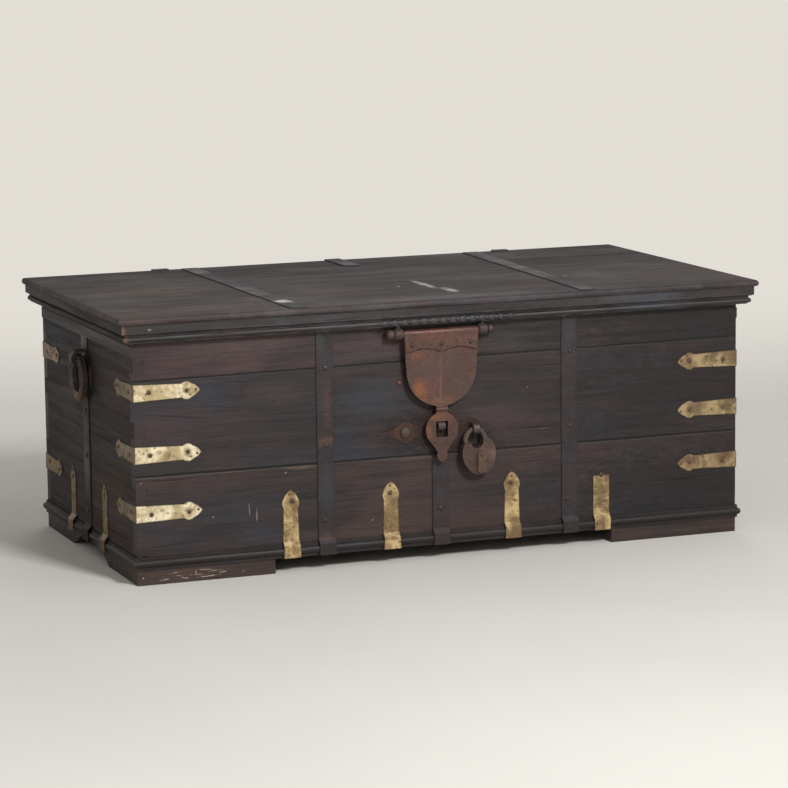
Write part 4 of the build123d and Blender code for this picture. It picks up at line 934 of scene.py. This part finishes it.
def back_nails(nail_iron, dark_iron):
    """Nails through the back corner straps and the hinge leaves."""
    face = HALF_DEPTH + BRASS_THICKNESS
    rng = random.Random(8)
    builder = bmesh.new()
    for side in (-1, 1):
        for z in BACK_HEIGHTS:
            corner_row(builder, rng, (side * HALF_LENGTH, face, z), (-side, 0, 0), BACK)
    new_piece("nails_back_brass", builder, "carcass", dark_iron)
    leaf_face = HALF_DEPTH + HINGE_LEAF
    places = [(x, leaf_face, z) for x in HINGE_X for z in HINGE_NAILS_Z]
    nail_group("nails_hinges", places, BACK, nail_iron, radius=0.0055, height=0.0028, seed=9)


def rust_nail(material):
    """A single rusty nail in the middle plank, left of the shield."""
    nail_group("nail_rusty", [RUSTY_NAIL], FRONT, material, radius=0.0052, height=0.0030, seed=11)


def carved_bead(material):
    """Upright scallops along the middle of the front moulding's bead."""
    first, last = BEAD_SPAN
    count = 14
    pitch = (last - first) / count
    builder = bmesh.new()
    for step in range(count):
        centre = Vector((first + (step + 0.5) * pitch, -(HALF_DEPTH + BEAD_REACH), BEAD_Z))
        ball = bmesh.ops.create_uvsphere(builder, u_segments=20, v_segments=12, radius=1.0)
        scale = Matrix.Diagonal((pitch * 0.46, 0.0058, 0.0062, 1.0))
        for vertex in ball["verts"]:
            vertex.co.z = math.copysign(abs(vertex.co.z) ** 0.5, vertex.co.z)
        bmesh.ops.transform(builder, matrix=Matrix.Translation(centre) @ scale, verts=ball["verts"])
    new_piece("carved_bead", builder, "lid", material)


def add_dome(builder, place, radius, height, sides=32, rings=7):
    """A round dome that faces the front, closed at its foot."""
    rows = []
    turn = Matrix.Translation(place) @ facing(FRONT)
    for ring in range(rings):
        lift = math.pi / 2 * ring / rings
        row = []
        for step in range(sides):
            angle = math.tau * step / sides
            out = radius * math.cos(lift)
            point = Vector((out * math.cos(angle), out * math.sin(angle), height * math.sin(lift)))
            row.append(builder.verts.new(turn @ point))
        rows.append(row)
    top = builder.verts.new(turn @ Vector((0, 0, height)))
    join_rings(builder, rows)
    for step in range(sides):
        builder.faces.new((rows[-1][step], rows[-1][(step + 1) % sides], top))


def shield_work(material):
    """The punched rim of the hasp shield."""
    inset = 0.0045
    spacing = 0.0056
    radius = SHIELD_RADIUS - inset
    straight = 0.037
    length = 2 * straight + math.pi * radius
    builder = bmesh.new()
    for step in range(int(length / spacing) + 1):
        along = step * spacing
        if along < straight:
            place = (-radius, SHIELD_SHOULDER_Z + straight - along)
        elif along > straight + math.pi * radius:
            place = (radius, SHIELD_SHOULDER_Z + along - straight - math.pi * radius)
        else:
            angle = math.pi + (along - straight) / radius
            place = (radius * math.cos(angle), SHIELD_SHOULDER_Z + radius * math.sin(angle))
        dot = Vector((LOCK_X + place[0], SHIELD_FACE_Y, place[1]))
        add_dome(builder, dot, radius=0.0016, height=0.0008, sides=10, rings=3)
    new_piece("shield_work", builder, "hasp", material)


def domed_nail(material):
    """The round nail of the lock plate, as a smooth dome."""
    builder = bmesh.new()
    place = Vector((LOCK_X - LOCK_NAIL_REACH, -(HALF_DEPTH + LOCK_PLATE), LOCK_Z))
    add_dome(builder, place, radius=0.011, height=0.006)
    piece = new_piece("lock_nail_dome", builder, "carcass", material)
    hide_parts("lock_nail")


def wrap_rivets(material):
    """The three round rivets of the hasp's folded plate."""
    builder = bmesh.new()
    for step in (-1, 0, 1):
        place = Vector((LOCK_X + step * RIVET_SPREAD, WRAP_FACE_Y, RIVET_Z))
        add_dome(builder, place, radius=0.0045, height=0.0022, sides=20, rings=5)
    piece = new_piece("wrap_rivets", builder, "hasp", material)
    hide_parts("hasp_rivets")


# ---------------------------------------------------------------- stage, camera and light
def studio_paper():
    """Matt pale paper; far from the chest the eye and reflections see it at its own even colour."""
    paper = Surface("studio_paper")
    cloud = paper.noise(even(1.5), detail=3.0)
    near = paper.mix(paper.band(cloud, 0.3, 0.7), srgb(222, 219, 213), srgb(218, 215, 209))
    paper.feed(paper.shader.inputs["Base Color"], near)
    paper.shader.inputs["Roughness"].default_value = 0.9
    far = paper.band(paper.reach(paper.place), EVEN_FROM, EVEN_BY)
    rays = paper.node("LightPath", {})
    seen = paper.math("MAXIMUM", rays.outputs["Is Camera Ray"], rays.outputs["Is Glossy Ray"])
    seen = paper.math("MAXIMUM", seen, rays.outputs["Is Transmission Ray"])
    glow = paper.node("Emission", {"Color": srgb(226, 222, 214)})
    share = paper.times(far, seen)
    blend = paper.node("MixShader", {0: share, 1: paper.shader.outputs[0], 2: glow.outputs[0]})
    output = next(node for node in paper.tree.nodes if node.type == "OUTPUT_MATERIAL")
    paper.feed(output.inputs["Surface"], blend.outputs[0])
    return paper.material


def stage_surface():
    """A pale round floor that curves up into a backdrop on every side."""
    builder = bmesh.new()
    profile = [(BOWL_RADIUS, 0.0)]
    for step in range(1, BOWL_STEPS + 1):
        angle = math.pi / 2 * step / BOWL_STEPS
        profile.append((BOWL_RADIUS + BOWL_BEND * math.sin(angle), BOWL_BEND * (1.0 - math.cos(angle))))
    profile.append((BOWL_RADIUS + BOWL_BEND, BOWL_HEIGHT))
    turns = [math.tau * sector / BOWL_SECTORS for sector in range(BOWL_SECTORS)]
    middle = builder.verts.new((0.0, 0.0, 0.0))
    rings = []
    for radius, height in profile:
        ring = []
        for turn in turns:
            ring.append(builder.verts.new((radius * math.cos(turn), radius * math.sin(turn), height)))
        rings.append(ring)
    for sector in range(BOWL_SECTORS):
        beside = (sector + 1) % BOWL_SECTORS
        builder.faces.new((middle, rings[0][sector], rings[0][beside]))
        for low, high in zip(rings, rings[1:]):
            builder.faces.new((low[sector], high[sector], high[beside], low[beside]))
    mesh = bpy.data.meshes.new("studio_floor")
    builder.to_mesh(mesh)
    builder.free()
    for face in mesh.polygons:
        face.use_smooth = True
    floor = bpy.data.objects.new("studio_floor", mesh)
    bpy.context.scene.collection.objects.link(floor)
    floor.data.materials.append(studio_paper())


def camera():
    """The photograph's viewpoint."""
    forward = Vector((
        -math.sin(CAMERA_YAW) * math.cos(CAMERA_PITCH),
        math.cos(CAMERA_YAW) * math.cos(CAMERA_PITCH),
        math.sin(CAMERA_PITCH),
    ))
    level_right = Vector((math.cos(CAMERA_YAW), math.sin(CAMERA_YAW), 0.0))
    level_up = level_right.cross(forward)
    right = math.cos(CAMERA_ROLL) * level_right + math.sin(CAMERA_ROLL) * level_up
    up = -math.sin(CAMERA_ROLL) * level_right + math.cos(CAMERA_ROLL) * level_up
    turn = Matrix((right, up, -forward)).transposed().to_4x4()
    data = bpy.data.cameras.new("photo_camera")
    data.sensor_width = SENSOR_MM
    data.sensor_fit = "HORIZONTAL"
    data.lens = FOCAL_PIXELS * SENSOR_MM / PHOTO_SIZE
    data.clip_end = 100.0
    view = bpy.data.objects.new("photo_camera", data)
    view.matrix_world = Matrix.Translation(CAMERA_PLACE) @ turn
    bpy.context.scene.collection.objects.link(view)
    bpy.context.scene.camera = view


def lamp(name, place, aim, size, power, mirrored=True):
    """A soft square lamp, left out of reflections and of the picture when it isn't mirrored."""
    data = bpy.data.lights.new(name, "AREA")
    data.shape = "SQUARE"
    data.size = size
    data.energy = power
    light = bpy.data.objects.new(name, data)
    light.location = place
    light.rotation_euler = (Vector(aim) - Vector(place)).to_track_quat("-Z", "Y").to_euler()
    light.visible_camera = mirrored
    light.visible_glossy = mirrored
    bpy.context.scene.collection.objects.link(light)


def light_the_set():
    """A high key just right of the front, faint fills from the left and behind, and an even pale world."""
    lamp("key", (0.7, -4.1, 3.0), (-0.1, -0.3, 0.25), size=0.9, power=185.0)
    lamp("fill", (-2.6, -4.2, 1.6), (-0.3, 0.0, 0.25), size=2.0, power=22.0)
    lamp("back_fill", (1.2, 3.6, 1.6), (0.0, 0.3, 0.25), size=1.8, power=38.0, mirrored=False)
    world = bpy.data.worlds.new("studio_world")
    world.use_nodes = True
    background = world.node_tree.nodes["Background"]
    background.inputs["Color"].default_value = srgb(246, 245, 243)
    background.inputs["Strength"].default_value = 0.42
    bpy.context.scene.world = world
    bpy.context.scene.view_settings.view_transform = "Standard"


dress_carcass()
dress_lid()
dress_metal()
head_iron = iron("iron_nail", 60, ((54, 46, 46), (74, 56, 50), (96, 88, 88)), (0.4, 0.4))
dark_head = iron("iron_dark_nail", 61, ((74, 60, 48), (104, 80, 62), (110, 94, 76)), (0.5, 0.4))
front_nails(head_iron, dark_head)
end_nails(head_iron, dark_head)
back_nails(head_iron, dark_head)
rust_nail(iron("iron_rust_nail", 62, ((92, 60, 48), (128, 76, 54), (96, 74, 66))))
carved_bead(wood("wood_bead", "x", 65, ((26, 23, 24), (54, 49, 50), (64, 54, 53), (70, 72, 78)),
                 0.4, 0.6, edge_colour=(118, 110, 108), edge_amount=0.4, shine=(0.4, 0.6), specular=0.5))
stage_surface()
camera()
light_the_set()
